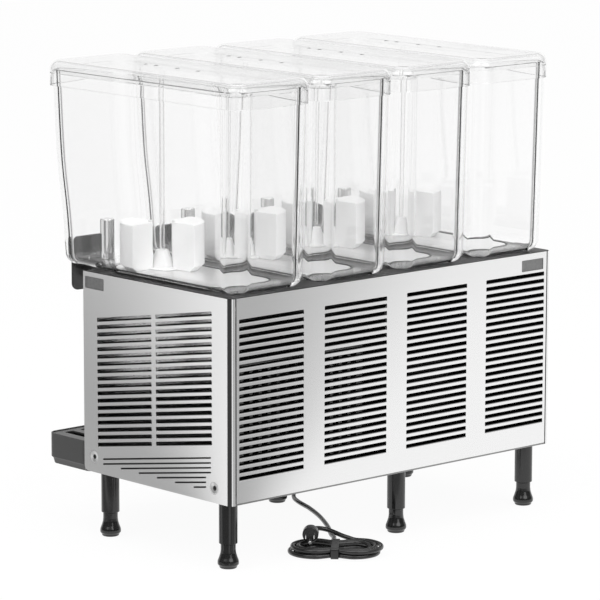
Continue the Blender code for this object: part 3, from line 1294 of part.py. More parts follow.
def cord_tie():
    half = TIE_WIDTH / 2
    top = HANK_LIFT + HANK_LAYER + CORD_RADIUS + FIT
    low = HANK_LIFT - CORD_RADIUS - FIT
    outer = box_mesh("cord_tie", ((-half, -TIE_REAR - TIE_WALL, low - TIE_WALL),
                                  (half, TIE_FRONT + TIE_WALL, top + TIE_WALL)))
    inner = box_mesh("cord_tie_hole", ((-TIE_WIDTH, -TIE_REAR, low), (TIE_WIDTH, TIE_FRONT, top)))
    turn = Matrix.Translation(hank_to_cabinet(0.0, 0.0, 0.0)) @ Matrix.Rotation(-math.pi / 4, 4, "Z")
    outer.transform(turn)
    inner.transform(turn)
    tie = place("cord_tie", outer, RUBBER)
    combine(tie, cutter("cord_tie_hole", inner), "DIFFERENCE")


def main():
    rear_panel()
    side_panel("side_panel_right", 1)
    side_panel("side_panel_left", -1)
    base_pan()
    top_deck()
    front_panel()
    control_fascia()
    legs()
    for number in range(1, BOWL_COUNT + 1):
        x = ((BOWL_COUNT + 1) / 2 - number) * BOWL_PITCH
        bowl(number, x)
        lid(number, x)
        cold_plate(number, x)
        gasket(number, x)
        agitator(number, x)
        plunger(number, x)
        dispense_handle(number, x)
    tray_bracket()
    drip_tray()
    drip_grille()
    power_switch()
    compressor()
    condenser()
    fan_and_motor()
    power_cord()
    power_plug()
    cord_tie()


main()
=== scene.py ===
import math

import bmesh
import bpy
from mathutils import Matrix, Vector


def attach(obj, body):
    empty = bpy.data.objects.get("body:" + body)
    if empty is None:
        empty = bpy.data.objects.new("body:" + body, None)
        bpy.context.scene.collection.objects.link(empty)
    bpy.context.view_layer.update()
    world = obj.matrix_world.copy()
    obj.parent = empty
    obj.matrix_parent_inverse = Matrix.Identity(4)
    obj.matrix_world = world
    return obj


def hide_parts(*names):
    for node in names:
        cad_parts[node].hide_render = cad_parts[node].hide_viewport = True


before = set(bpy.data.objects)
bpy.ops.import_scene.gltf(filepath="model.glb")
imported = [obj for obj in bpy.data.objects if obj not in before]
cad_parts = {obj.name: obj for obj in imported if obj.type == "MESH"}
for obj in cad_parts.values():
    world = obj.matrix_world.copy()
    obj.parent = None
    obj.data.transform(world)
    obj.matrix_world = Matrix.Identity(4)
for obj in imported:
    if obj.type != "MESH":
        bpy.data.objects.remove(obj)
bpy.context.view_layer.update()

cabinetShift = Vector((0.0, 0.05095, 0.0))   # from the cabinet's middle to the frame's origin
touchGap = 0.0003
cutRoom = 0.004                              # how far a cutting tool stands out of what it cuts
sheetWall = 0.0012
bowlPlaces = {1: 0.25725, 2: 0.08575, 3: -0.08575, 4: -0.25725}


# Node trees

class Wire:
    # one output of a node; sums on it add Math nodes to its board
    def __init__(self, board, socket):
        self.board = board
        self.socket = socket

    def maths(self, operation, first, second=0.0):
        return self.board.add("ShaderNodeMath", {0: first, 1: second}, operation=operation)

    def __add__(self, other):
        return self.maths("ADD", self, other)

    def __radd__(self, other):
        return self.maths("ADD", other, self)

    def __sub__(self, other):
        return self.maths("SUBTRACT", self, other)

    def __rsub__(self, other):
        return self.maths("SUBTRACT", other, self)

    def __mul__(self, other):
        return self.maths("MULTIPLY", self, other)

    def __rmul__(self, other):
        return self.maths("MULTIPLY", other, self)

    def __truediv__(self, other):
        return self.maths("DIVIDE", self, other)

    def __rtruediv__(self, other):
        return self.maths("DIVIDE", other, self)

    def __pow__(self, other):
        return self.maths("POWER", self, other)

    def __rpow__(self, other):
        return self.maths("POWER", other, self)

    def larger(self, other):
        return self.maths("MAXIMUM", self, other)

    def sine(self):
        return self.maths("SINE", self)

    def cosine(self):
        return self.maths("COSINE", self)


class Board:
    # a node tree with one method that adds any node: its type, its sockets and its settings
    def __init__(self, tree):
        self.tree = tree
        tree.nodes.clear()

    def add(self, kind, sockets=None, output=0, **settings):
        node = self.tree.nodes.new(kind)
        for key, value in settings.items():
            if key == "stops":
                self.fillRamp(node.color_ramp, value)
            else:
                setattr(node, key, value)
        for key, value in (sockets or {}).items():
            self.join(value, node.inputs[key])
        return node if output is None else Wire(self, node.outputs[output])

    def join(self, value, socket):
        if isinstance(value, list):
            for item in value:
                self.tree.links.new(item.socket, socket)
        elif isinstance(value, Wire):
            self.tree.links.new(value.socket, socket)
        else:
            socket.default_value = value

    def fillRamp(self, ramp, stops):
        while len(ramp.elements) < len(stops):
            ramp.elements.new(0.5)
        for element, (position, shade) in zip(ramp.elements, stops):
            element.position = position
            element.color = grey(shade)

    def parts(self, vector):
        node = self.add("ShaderNodeSeparateXYZ", {0: vector}, None)
        return [Wire(self, output) for output in node.outputs]

    def tint(self, factor, first, second, mode="MIX"):
        return self.add("ShaderNodeMix", {0: factor, 6: grey(first), 7: grey(second)}, 2,
                        data_type="RGBA", blend_type=mode)


def grey(value):
    return (value, value, value, 1.0) if isinstance(value, float) else value


# Materials

def startMaterial(name):
    material = bpy.data.materials.new(name)
    material.use_nodes = True
    board = Board(material.node_tree)
    board.material = material
    return board, board.add("ShaderNodeTexCoord", output=3)


def cloud(board, place, scale, stretch=(1.0, 1.0, 1.0), detail=3.0):
    spread = board.add("ShaderNodeMapping", {"Vector": place, "Scale": stretch})
    return board.add("ShaderNodeTexNoise", {"Vector": spread, "Scale": scale, "Detail": detail})


def relief(board, strength, depth, height):
    return board.add("ShaderNodeBump", {"Strength": strength, "Distance": depth, "Height": height})


def closeMaterial(board, colour, roughness, metallic=0.0, normal=None, **constants):
    sockets = {"Base Color": grey(colour), "Roughness": roughness, "Metallic": metallic}
    if normal is not None:
        sockets["Normal"] = normal
    sockets.update({key.replace("_", " "): value for key, value in constants.items()})
    shader = board.add("ShaderNodeBsdfPrincipled", sockets)
    board.add("ShaderNodeOutputMaterial", {"Surface": shader}, None)
    return board.material


steelLook = {
    "shade": 0.89, "spread": 0.02, "roughness": 0.16, "uneven": 0.05, "grain": (12.0, 12.0, 2600.0),
    "bump": 0.02, "bumpDepth": 0.0003, "patchScale": 5.0, "patchStretch": (1.0, 1.0, 0.6),
    "patchShare": 0.3, "patchUneven": 0.06, "paintedLouvreShade": 0.09, "paintedShadeDepths": (0.0001, 0.0011),
    "paintedFoldReflection": ((0.0, 1.0), (0.06, 1.0), (0.12, 0.16), (0.52, 0.16), (0.58, 1.0), (0.95, 1.0)),
}


def faceDepth(board, place):
    # how far a point lies behind the outer face of the side and rear sheets, and its share of a fold's turn,
    # which place the painted shade in the louvres and the painted reflection on the fold
    across, back = board.parts(place)[:2]
    fold, tiny = panelLook["fold"], 0.00001
    sideways = (across.larger(0.0 - across) - (panelLook["halfWidth"] - fold)).larger(0.0)
    backwards = (back - (panelLook["halfDepth"] - fold + cabinetShift.y)).larger(0.0)
    depth = fold - (sideways ** 2.0 + backwards ** 2.0) ** 0.5
    return depth, backwards / (sideways + backwards + tiny)


def brushedSteel(name, look, louvred=False):
    # long fine level scratches over soft cloudy patches; on the louvred sheets a painted dark reflection runs
    # along the fold and painted shade darkens the louvres with depth
    board, place = startMaterial(name)
    scratches = cloud(board, place, 1.0, look["grain"], 4.0)
    patches = cloud(board, place, look["patchScale"], look["patchStretch"], 2.0)
    mixed = scratches * (1 - look["patchShare"]) + patches * look["patchShare"]
    colour = board.tint(mixed, look["shade"] - look["spread"], look["shade"] + look["spread"])
    if louvred:
        depth, share = faceDepth(board, place)
        # painted reflection: a dark band across the middle of the fold's turn
        fold = board.add("ShaderNodeValToRGB", {0: share}, stops=look["paintedFoldReflection"])
        colour = board.tint(1.0, colour, fold, "MULTIPLY")
        # painted shade: from about a millimetre behind the outer face the steel turns dark, standing for the
        # shade inside the louvres
        colour = board.tint(smoothRise(board, depth, look["paintedShadeDepths"], 0.0, 1.0), colour, look["paintedLouvreShade"])
    roughness = look["roughness"] + (scratches - 0.5) * look["uneven"] + (patches - 0.5) * look["patchUneven"]
    normal = relief(board, look["bump"], look["bumpDepth"], scratches)
    return closeMaterial(board, colour, roughness, 1.0, normal)


def smoothRise(board, along, edge, low, high):
    return board.add("ShaderNodeMapRange", {0: along, 1: edge[0], 2: edge[1], 3: low, 4: high},
                     interpolation_type="SMOOTHSTEP")


castLook = {"spread": 0.2, "uneven": 0.2, "patchShare": 0.5}


def castMetal(name, shade, roughness, scale, look=castLook):
    # galvanised or cast metal with a faint spangle
    board, place = startMaterial(name)
    spangle = board.add("ShaderNodeTexVoronoi", {"Vector": place, "Scale": scale})
    patches = cloud(board, place, scale / 4)
    mixed = spangle * (1 - look["patchShare"]) + patches * look["patchShare"]
    colour = board.tint(mixed, shade * (1 - look["spread"]), shade * (1 + look["spread"]))
    return closeMaterial(board, colour, roughness + (patches - 0.5) * look["uneven"], 1.0)


mouldLook = {
    "texture": 0.0, "scale": 900.0, "depth": 0.0002, "gloss": 1.5, "spread": 0.1, "wearScale": 14.0,
    "wearUneven": 0.12, "skinUneven": 0.05,
}


def moulding(name, shade, roughness, **changes):
    # moulded plastic, smooth or with a fine sparkled skin, and slightly uneven in gloss
    look = {**mouldLook, **changes}
    board, place = startMaterial(name)
    skin = cloud(board, place, look["scale"], detail=2.0)
    wear = cloud(board, place, look["wearScale"])
    colour = board.tint(wear, shade * (1 - look["spread"]), shade * (1 + look["spread"]))
    sheen = roughness + (wear - 0.5) * look["wearUneven"] + (skin - 0.5) * look["skinUneven"]
    normal = relief(board, look["texture"], look["depth"], skin)
    return closeMaterial(board, colour, sheen, 0.0, normal, IOR=look["gloss"])


clearLook = {
    "tint": 0.996, "edgePaintedShade": 0.50, "edgePower": 7.0, "roughness": 0.01, "bend": 1.49, "ripple": 0.02,
    "rippleScale": 9.0, "rippleStretch": (1.0, 1.0, 0.25), "rippleDepth": 0.002,
}


def clearPlastic(name, look):
    # moulded clear wall with real refraction, a very slight unevenness and painted shade along its outlines
    board, place = startMaterial(name)
    ripple = cloud(board, place, look["rippleScale"], look["rippleStretch"], 2.0)
    normal = relief(board, look["ripple"], look["rippleDepth"], ripple)
    # the wall is seen through its length towards an outline, where it looks darker; the colour darkens there
    # by viewing angle far past what that path gives, as painted shade
    facing = board.add("ShaderNodeLayerWeight", {"Blend": 0.5}, 1)
    colour = board.tint(facing ** look["edgePower"], look["tint"], look["edgePaintedShade"])
    return closeMaterial(board, colour, look["roughness"], 0.0, normal, Transmission_Weight=1.0,
                         IOR=look["bend"])


panelSteel = brushedSteel("panelSteel", steelLook)
groundSteelLook = {**steelLook, "shade": 0.90, "roughness": 0.30, "grain": (300.0, 4.0, 4.0)}
plateSteel = brushedSteel("plateSteel", groundSteelLook)
chromeLook = {**steelLook, "shade": 0.72, "roughness": 0.10, "uneven": 0.02, "bump": 0.0}
chrome = brushedSteel("chrome", chromeLook)
galvanised = castMetal("galvanised", shade=0.34, roughness=0.42, scale=40.0)
condenserMetal = castMetal("condenserMetal", shade=0.20, roughness=0.5, scale=120.0)
badgeMetal = castMetal("badgeMetal", shade=0.30, roughness=0.38, scale=200.0)
clear = clearPlastic("clearPlastic", clearLook)
tubeClear = clearPlastic("tubeClear", {**clearLook, "tint": 0.98})
white = moulding("whiteMoulding", shade=0.86, roughness=0.38, texture=0.02)
black = moulding("blackMoulding", shade=0.014, roughness=0.22, texture=0.02, gloss=1.6)
deckBlack = moulding("deckBlack", shade=0.008, roughness=0.42, gloss=1.28)
trayBlack = moulding("trayBlack", shade=0.045, roughness=0.42, texture=0.10)
legBlack = moulding("legBlack", shade=0.008, roughness=0.15, texture=0.02, gloss=1.6)
rubber = moulding("rubber", shade=0.010, roughness=0.26, texture=0.04, scale=500.0, gloss=1.55)
gasketRubber = moulding("gasketRubber", shade=0.05, roughness=0.55, texture=0.04)
motorPaint = moulding("motorPaint", shade=0.012, roughness=0.45, texture=0.05)
print("materials made")


# Mesh helpers

def ringFaces(bm, lower, upper):
    count = max(len(lower), len(upper))
    for index in range(count):
        after = (index + 1) % count
        corners = [lower[index % len(lower)], lower[after % len(lower)],
                   upper[after % len(upper)], upper[index % len(upper)]]
        unique = [vert for spot, vert in enumerate(corners) if vert not in corners[:spot]]
        if len(unique) > 2:
            bm.faces.new(unique)


def loft(name, rings, closed=False):
    # a solid through rings of points, capped at both ends or closed on itself
    bm = bmesh.new()
    loops = [[bm.verts.new(point) for point in ring] for ring in rings]
    for lower, upper in zip(loops, loops[1:]):
        ringFaces(bm, lower, upper)
    if closed:
        ringFaces(bm, loops[-1], loops[0])
    else:
        for loop in (loops[0], loops[-1]):
            if len(loop) > 2:
                bm.faces.new(loop)
    return meshFrom(bm, name)


def meshFrom(bm, name):
    bmesh.ops.recalc_face_normals(bm, faces=bm.faces)
    mesh = bpy.data.meshes.new(name)
    bm.to_mesh(mesh)
    bm.free()
    return mesh


def arc(middle, radius, start, turn, steps):
    # points round a part of a circle, with its angles in degrees
    points = []
    for step in range(steps + 1):
        angle = math.radians(start + turn * step / steps)
        points.append((middle[0] + radius * math.cos(angle), middle[1] + radius * math.sin(angle)))
    return points


def circle(middle, radius, steps):
    return arc(middle, radius, 0.0, 360.0, steps)[:-1]


def raised(outline, z):
    return [(x, y, z) for x, y in outline]


def prism(outline, low, high):
    return loft("prism", [raised(outline, z) for z in (low, high)])


def turned(name, profile, segments, closed=False):
    rings = [raised(circle((0.0, 0.0), radius, segments) if radius > 0 else [(0.0, 0.0)], height)
             for radius, height in profile]
    return loft(name, rings, closed)


def rod(radius, low, high, segments):
    return turned("rod", [(0.0, low), (radius, low), (radius, high), (0.0, high)], segments)


def eased(points, radius, steps=4, closed=False):
    # the same run of points with each inner corner rounded
    count = len(points)
    smooth = [] if closed else [tuple(points[0])]
    for index in range(count) if closed else range(1, count - 1):
        before, corner, after = (Vector(points[(index + shift) % count]) for shift in (-1, 0, 1))
        reach = min(radius, (before - corner).length * 0.48, (after - corner).length * 0.48)
        start = corner + (before - corner).normalized() * reach
        end = corner + (after - corner).normalized() * reach
        for step in range(steps + 1):
            t = step / steps
            smooth.append(tuple(start * (1 - t) ** 2 + corner * 2 * t * (1 - t) + end * t * t))
    return smooth if closed else smooth + [tuple(points[-1])]


def roundedBox(xLow, xHigh, yLow, yHigh, radius, segments=10):
    points = []
    for x, y, start in ((xHigh - radius, yHigh - radius, 0.0), (xLow + radius, yHigh - radius, 90.0),
                        (xLow + radius, yLow + radius, 180.0), (xHigh - radius, yLow + radius, 270.0)):
        points += arc((x, y), radius, start, 90.0, segments)
    return points


def slab(name, outline, low, high, edge, steps=3):
    # an outline given a thickness, with both its edges rounded over
    middle = Vector((sum(point[0] for point in outline), sum(point[1] for point in outline))) / len(outline)
    reach = max((Vector(point) - middle).length for point in outline)
    angles = [math.pi / 2 * step / steps for step in range(steps + 1)]
    rings = [(low + edge * (1 - math.cos(angle)), edge * (1 - math.sin(angle))) for angle in angles]
    rings += [(low + high - z, inset) for z, inset in reversed(rings)]
    loops = []
    for z, inset in rings:
        shrink = 1 - inset / reach
        loops.append([(middle.x + (x - middle.x) * shrink, middle.y + (y - middle.y) * shrink, z)
                      for x, y in outline])
    return loft(name, loops)


def boxMesh(name, low, high):
    bm = bmesh.new()
    size = Vector(high) - Vector(low)
    matrix = Matrix.Translation((Vector(high) + Vector(low)) / 2) @ Matrix.Diagonal((*size, 1.0))
    bmesh.ops.create_cube(bm, size=1.0, matrix=matrix)
    return meshFrom(bm, name)


def readMesh(obj):
    # the evaluated result as a plain mesh, after which the working object goes
    bpy.context.view_layer.update()
    graph = bpy.context.evaluated_depsgraph_get()
    mesh = bpy.data.meshes.new_from_object(obj.evaluated_get(graph))
    bpy.data.objects.remove(obj)
    return mesh


def workObject(data, name="work"):
    obj = bpy.data.objects.new(name, data)
    bpy.context.scene.collection.objects.link(obj)
    return obj


def carve(mesh, tool, operation):
    obj, other = workObject(mesh), workObject(tool)
    step = obj.modifiers.new(operation, "BOOLEAN")
    step.operation, step.object, step.solver = operation, other, "EXACT"
    result = readMesh(obj)
    bpy.data.objects.remove(other)
    return result


def softened(mesh, width, segments=2, angle=30.0):
    obj = workObject(mesh)
    edge = obj.modifiers.new("edges", "BEVEL")
    edge.width, edge.segments = width, segments
    edge.limit_method, edge.angle_limit = "ANGLE", math.radians(angle)
    return readMesh(obj)


def joined(name, meshes):
    bm = bmesh.new()
    for mesh in meshes:
        bm.from_mesh(mesh)
    mesh = bpy.data.meshes.new(name)
    bm.to_mesh(mesh)
    bm.free()
    return mesh


def moved(mesh, offset=(0.0, 0.0, 0.0), turn=None):
    copy = mesh.copy()
    copy.transform(Matrix.Translation(offset) @ (turn or Matrix.Identity(4)))
    return copy


def upright(right, out, reach, sideways=(0.0, 0.0, 0.0)):
    # stands a flat piece up, with its X to the right, its Y up and its face outwards at that reach
    turn = Matrix((right, (0.0, 0.0, 1.0), out)).transposed().to_4x4()
    return Matrix.Translation(Vector(out) * reach + Vector(sideways)) @ turn


def dress(name, mesh, material, body, replaced=None, sharp=35.0):
    mesh = mesh.copy()
    mesh.transform(Matrix.Translation(cabinetShift))
    mesh.materials.clear()
    mesh.materials.append(material)
    mesh.shade_smooth()
    mesh.set_sharp_from_angle(angle=math.radians(sharp))
    # large flat faces keep their own normal, so that only the rounded edges turn the light
    shaded = workObject(mesh)
    shaded.modifiers.new("normals", "WEIGHTED_NORMAL").keep_sharp = True
    mesh = readMesh(shaded)
    mesh.name = name
    piece = workObject(mesh, name)
    # the clear walls cast no shadow on what they hold
    piece.visible_shadow = material not in (clear, tubeClear)
    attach(piece, body)
    if replaced:
        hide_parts(replaced)
    return piece


# Camera at the photograph's place

view = {
    "place": (4.05279, 4.46338, 1.4198), "yaw": -132.2466, "down": 10.0498, "roll": 0.1115, "lens": 229.5,
    "sensor": 36.0, "clip": (0.1, 100.0),
}


def placeCamera(view):
    yaw, down, roll = (math.radians(view[key]) for key in ("yaw", "down", "roll"))
    ahead = Vector((math.cos(yaw) * math.cos(down), math.sin(yaw) * math.cos(down), -math.sin(down)))
    right = Vector((math.sin(yaw), -math.cos(yaw), 0.0))
    up = right.cross(ahead)
    across = right * math.cos(roll) + up * math.sin(roll)
    upwards = up * math.cos(roll) - right * math.sin(roll)
    data = bpy.data.cameras.new("camera")
    data.lens, data.sensor_width = view["lens"], view["sensor"]
    data.clip_start, data.clip_end = view["clip"]
    camera = workObject(data, "camera")
    turn = Matrix((across, upwards, -ahead)).transposed().to_4x4()
    camera.matrix_world = Matrix.Translation(view["place"]) @ turn
    bpy.context.scene.camera = camera


placeCamera(view)
print("camera placed")


# Power cord, in the route of its CAD solids

cordLook = {
    "radius": 0.00365, "gland": (-0.0900, -0.1500, 0.0724), "step": 0.0180,
    "lead": ((-0.0900, -0.1500, 0.0660), (-0.0868, -0.1490, 0.0420), (-0.0755, -0.1450, 0.0170),
             (-0.0590, -0.1290, 0.0058), (-0.0420, -0.0950, 0.0046), (-0.0280, -0.0580, 0.0046),
             (0.0006, -0.0004, 0.0046), (0.0380, 0.0590, 0.0046), (0.0690, 0.1000, 0.0046)),
    "hank": (0.1415, 0.1885), "lift": 0.0054, "layer": 0.00785, "straight": 0.030, "outer": 0.042,
    "loopStep": 0.009, "waist": 0.010, "entry": 0.024, "runSteps": 5, "endSteps": 7, "inward": 57,
    "outward": 58,
    "tail": ((-0.0100, -0.0480, 0.0180), (0.0110, -0.0565, 0.0245), (0.0290, -0.0535, 0.0288)),
    "plug": (0.0390, -0.0320, 0.0300), "tieWidth": 0.012, "tieWall": 0.0012, "tieFront": 0.0345,
    "tieRear": 0.0302, "tieCorner": 0.0030, "tieEdge": 0.0004,
}
plugLook = {
    "radius": 0.0125, "length": 0.030, "neck": 0.0048, "body": (0.0088, 0.0125), "edge": 0.0012,
    "soft": 0.0008, "ribs": 3, "ribStart": 0.0006, "ribStep": 0.0026, "ribRadius": 0.0058,
    "ribGrow": 0.0012, "groove": 0.0007, "ribEnds": (0.0014, 0.0018, 0.0024), "pitch": 0.0127,
    "bladeHalf": (0.0031, 0.00075), "root": 0.001, "reach": 0.0155, "bladeEdge": 0.0006, "pin": 0.0024,
    "pinEdge": 0.0016,
}
slant = math.sqrt(0.5)       # the hank lies askew, halfway between the cabinet's length and its depth


def denser(points, parts):
    # a smooth curve through the points, read at so many places between each two
    ends = [points[0] * 2 - points[1]] + list(points) + [points[-1] * 2 - points[-2]]
    dense = []
    for index in range(1, len(ends) - 2):
        before, first, second, after = ends[index - 1:index + 3]
        for part in range(parts):
            t = part / parts
            dense.append(0.5 * (2 * first + (second - before) * t
                                + (2 * before - 5 * first + 4 * second - after) * t * t
                                + (3 * first - before - 3 * second + after) * t ** 3))
    return dense + [Vector(points[-1])]


def smoothRoute(points, step):
    # the same curve, read at an even step
    dense = denser(points, 20)
    lengths = [0.0]
    for first, second in zip(dense, dense[1:]):
        lengths.append(lengths[-1] + (second - first).length)
    count = max(2, round(lengths[-1] / step))
    even, cursor = [], 0
    for number in range(count + 1):
        wanted = lengths[-1] * number / count
        while cursor < len(lengths) - 2 and lengths[cursor + 1] < wanted:
            cursor += 1
        span = lengths[cursor + 1] - lengths[cursor]
        share = min(1.0, max(0.0, (wanted - lengths[cursor]) / span))
        even.append(dense[cursor].lerp(dense[cursor + 1], share))
    return even


def hankPlace(along, across, height):
    x, y = cordLook["hank"]
    return Vector((x + (along + across) * slant, y + (across - along) * slant, height))


def hankPoint(look, index, halfWidth, height):
    # one of the 24 points of a loop: rear run, right end, front run, left end
    halfTurn = look["runSteps"] + look["endSteps"]
    step = index % (2 * halfTurn)
    side = -1 if step < halfTurn else 1
    step %= halfTurn
    if step < look["runSteps"]:
        along = look["straight"] * (2 * step / look["runSteps"] - 1)
        drawn = look["waist"] * (1 + math.cos(math.pi * along / look["straight"])) / 2
        return hankPlace(-side * along, side * (halfWidth - drawn), height)
    angle = math.pi * (step - look["runSteps"]) / look["endSteps"]
    along = look["straight"] + halfWidth * math.sin(angle)
    return hankPlace(-side * along, side * halfWidth * math.cos(angle), height)


def hankRoute(look):
    entry, thick, start = look["entry"], 2 * look["radius"], -look["outer"] - look["entry"]
    points = [hankPlace(look["straight"] - entry, start - thick, look["lift"])]
    points += [hankPlace(along, across, look["lift"])
               for along, across in arc((look["straight"], start), entry, 180.0, -90.0, 4)[:-1]]
    halfTurn = look["runSteps"] + look["endSteps"]
    climbStart = 5 * halfTurn + look["runSteps"]
    for number in range(look["inward"] + look["outward"] + 1):
        index = look["runSteps"] + number
        reversal = min(number, look["inward"]) - max(0, number - look["inward"])
        halfWidth = look["outer"] - look["loopStep"] * reversal / (2 * halfTurn)
        climb = min(1.0, max(0.0, (index - climbStart) / look["runSteps"]))
        height = look["lift"] + look["layer"] * (3 * climb ** 2 - 2 * climb ** 3)
        points.append(hankPoint(look, index, halfWidth, height))
    along, across, height = look["plug"]
    straight = hankPlace(along, across - touchGap - thick, height)
    tail = [points[-1]] + [hankPlace(*spot) for spot in look["tail"]] + [straight]
    tail = smoothRoute(tail, look["step"] * 2 / 3)
    return points + tail[1:] + [hankPlace(along, across - touchGap, height)]


def cordCurve(points):
    curve = bpy.data.curves.new("powerCord", "CURVE")
    curve.dimensions, curve.twist_mode = "3D", "MINIMUM"
    curve.bevel_depth, curve.bevel_resolution, curve.use_fill_caps = cordLook["radius"], 4, True
    spline = curve.splines.new("POLY")
    spline.points.add(len(points) - 1)
    for point, spot in zip(spline.points, points):
        point.co = (*(spot + cabinetShift), 1.0)
        point.radius = 1.0
    spline.use_smooth = True
    curve.materials.append(rubber)
    return workObject(curve, "powerCord")


def plugMesh(look):
    # a moulded plug: ribbed neck, round body with a flat face and steel blades
    radius, length, edge = look["radius"], look["length"], look["edge"]
    profile = [(0.0, 0.0), (look["neck"], 0.0)]
    for rib in range(look["ribs"]):
        start, size = look["ribStart"] + rib * look["ribStep"], look["ribRadius"] + rib * look["ribGrow"]
        crest, foot, end = (start + height for height in look["ribEnds"])
        profile += [(size, start), (size, crest), (size - look["groove"], foot), (size - look["groove"], end)]
    profile += [(radius - edge, look["body"][0]), (radius, look["body"][1]), (radius, length - edge),
                (radius - edge, length), (0.0, length)]
    body = turned("plugBody", eased(profile, look["soft"], 2), 40)
    low, high = length - look["root"], length + look["reach"]
    halfWidth, halfWall = look["bladeHalf"]
    blades = []
    for middle in (-look["pitch"] / 2, look["pitch"] / 2):
        blade = boxMesh("blade", (-halfWidth, middle - halfWall, low), (halfWidth, middle + halfWall, high))
        blades.append(softened(blade, look["bladeEdge"]))
    profile = eased([(0.0, low), (look["pin"], low), (look["pin"], high), (0.0, high)], look["pinEdge"])
    pin = moved(turned("pin", profile, 20), (-radius * 2 / 3, 0.0, 0.0))
    return body, joined("plugBlades", blades + [pin])


def tieMesh(look):
    # a strap round the hank, its length across the hank and its width along it
    half, wall = look["tieWidth"] / 2, look["tieWall"]
    top = look["lift"] + look["layer"] + look["radius"] + touchGap
    low = look["lift"] - look["radius"] - touchGap
    rings = []
    for grow, ends in ((wall, (-half, half)), (0.0, (half, -half))):
        outline = roundedBox(-look["tieRear"] - grow, look["tieFront"] + grow, low - grow, top + grow,
                             look["tieCorner"] + grow, 6)
        rings += [[(end, across, height) for across, height in outline] for end in ends]
    return softened(loft("tie", rings, closed=True), look["tieEdge"])


def makeCord(look):
    thick = 2 * look["radius"]
    hank = hankRoute(look)
    begin = Vector(look["gland"])
    straightIn = hank[0] - (hank[1] - hank[0]).normalized() * 3 * thick
    lead = [begin] + [Vector(spot) for spot in look["lead"]] + [straightIn, hank[0]]
    lead = smoothRoute(lead, look["step"])
    lead.insert(1, begin - Vector((0.0, 0.0, thick)))
    points = denser(lead[:-1] + hank, 3)
    length = sum((second - first).length for first, second in zip(points, points[1:]))
    cord = cordCurve(points)
    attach(cord, "cabinet")
    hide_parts("power_cord_lead", "power_cord_hank")
    # the plug's own length lies level towards the rear right, and its blades stand side by side
    aim = Matrix(((0.0, slant, slant), (0.0, -slant, slant), (1.0, 0.0, 0.0))).to_4x4()
    body, blades = (moved(mesh, hankPlace(*look["plug"]), aim) for mesh in plugMesh(plugLook))
    plug = dress("powerPlug", body, rubber, "cabinet", "power_plug")
    prongs = dress("plugBlades", blades, plateSteel, "cabinet")
    strap = moved(tieMesh(look), hankPlace(0.0, 0.0, 0.0), Matrix.Rotation(-math.pi / 4, 4, "Z"))
    tie = dress("cordTie", strap, rubber, "cabinet", "cord_tie")
    print("cord laid: %.3f m" % length)


makeCord(cordLook)


# Geometry Nodes trees: sheets with repeated slots, and small pieces in rows

def startTree(name, inputs):
    # a tree with named inputs, given as the labels of each kind, and a wire from each input
    tree = bpy.data.node_groups.new(name, "GeometryNodeTree")
    for kind, labels in inputs.items():
        for label in labels:
            tree.interface.new_socket(label, in_out="INPUT", socket_type="NodeSocket" + kind)
    tree.interface.new_socket("Geometry", in_out="OUTPUT", socket_type="NodeSocketGeometry")
    board = Board(tree)
    given = board.add("NodeGroupInput", output=None)
    return board, {label: Wire(board, given.outputs[label]) for labels in inputs.values() for label in labels}


def closeTree(board, geometry, material):
    real = board.add("GeometryNodeRealizeInstances", {"Geometry": geometry})
    done = board.add("GeometryNodeSetMaterial", {"Geometry": real, "Material": material})
    board.add("NodeGroupOutput", {0: done}, None)
    return board.tree


lipLook = {"room": 0.0016, "wallShare": 0.9, "steps": 8, "cornerSteps": 3, "mergeGap": 0.00002}


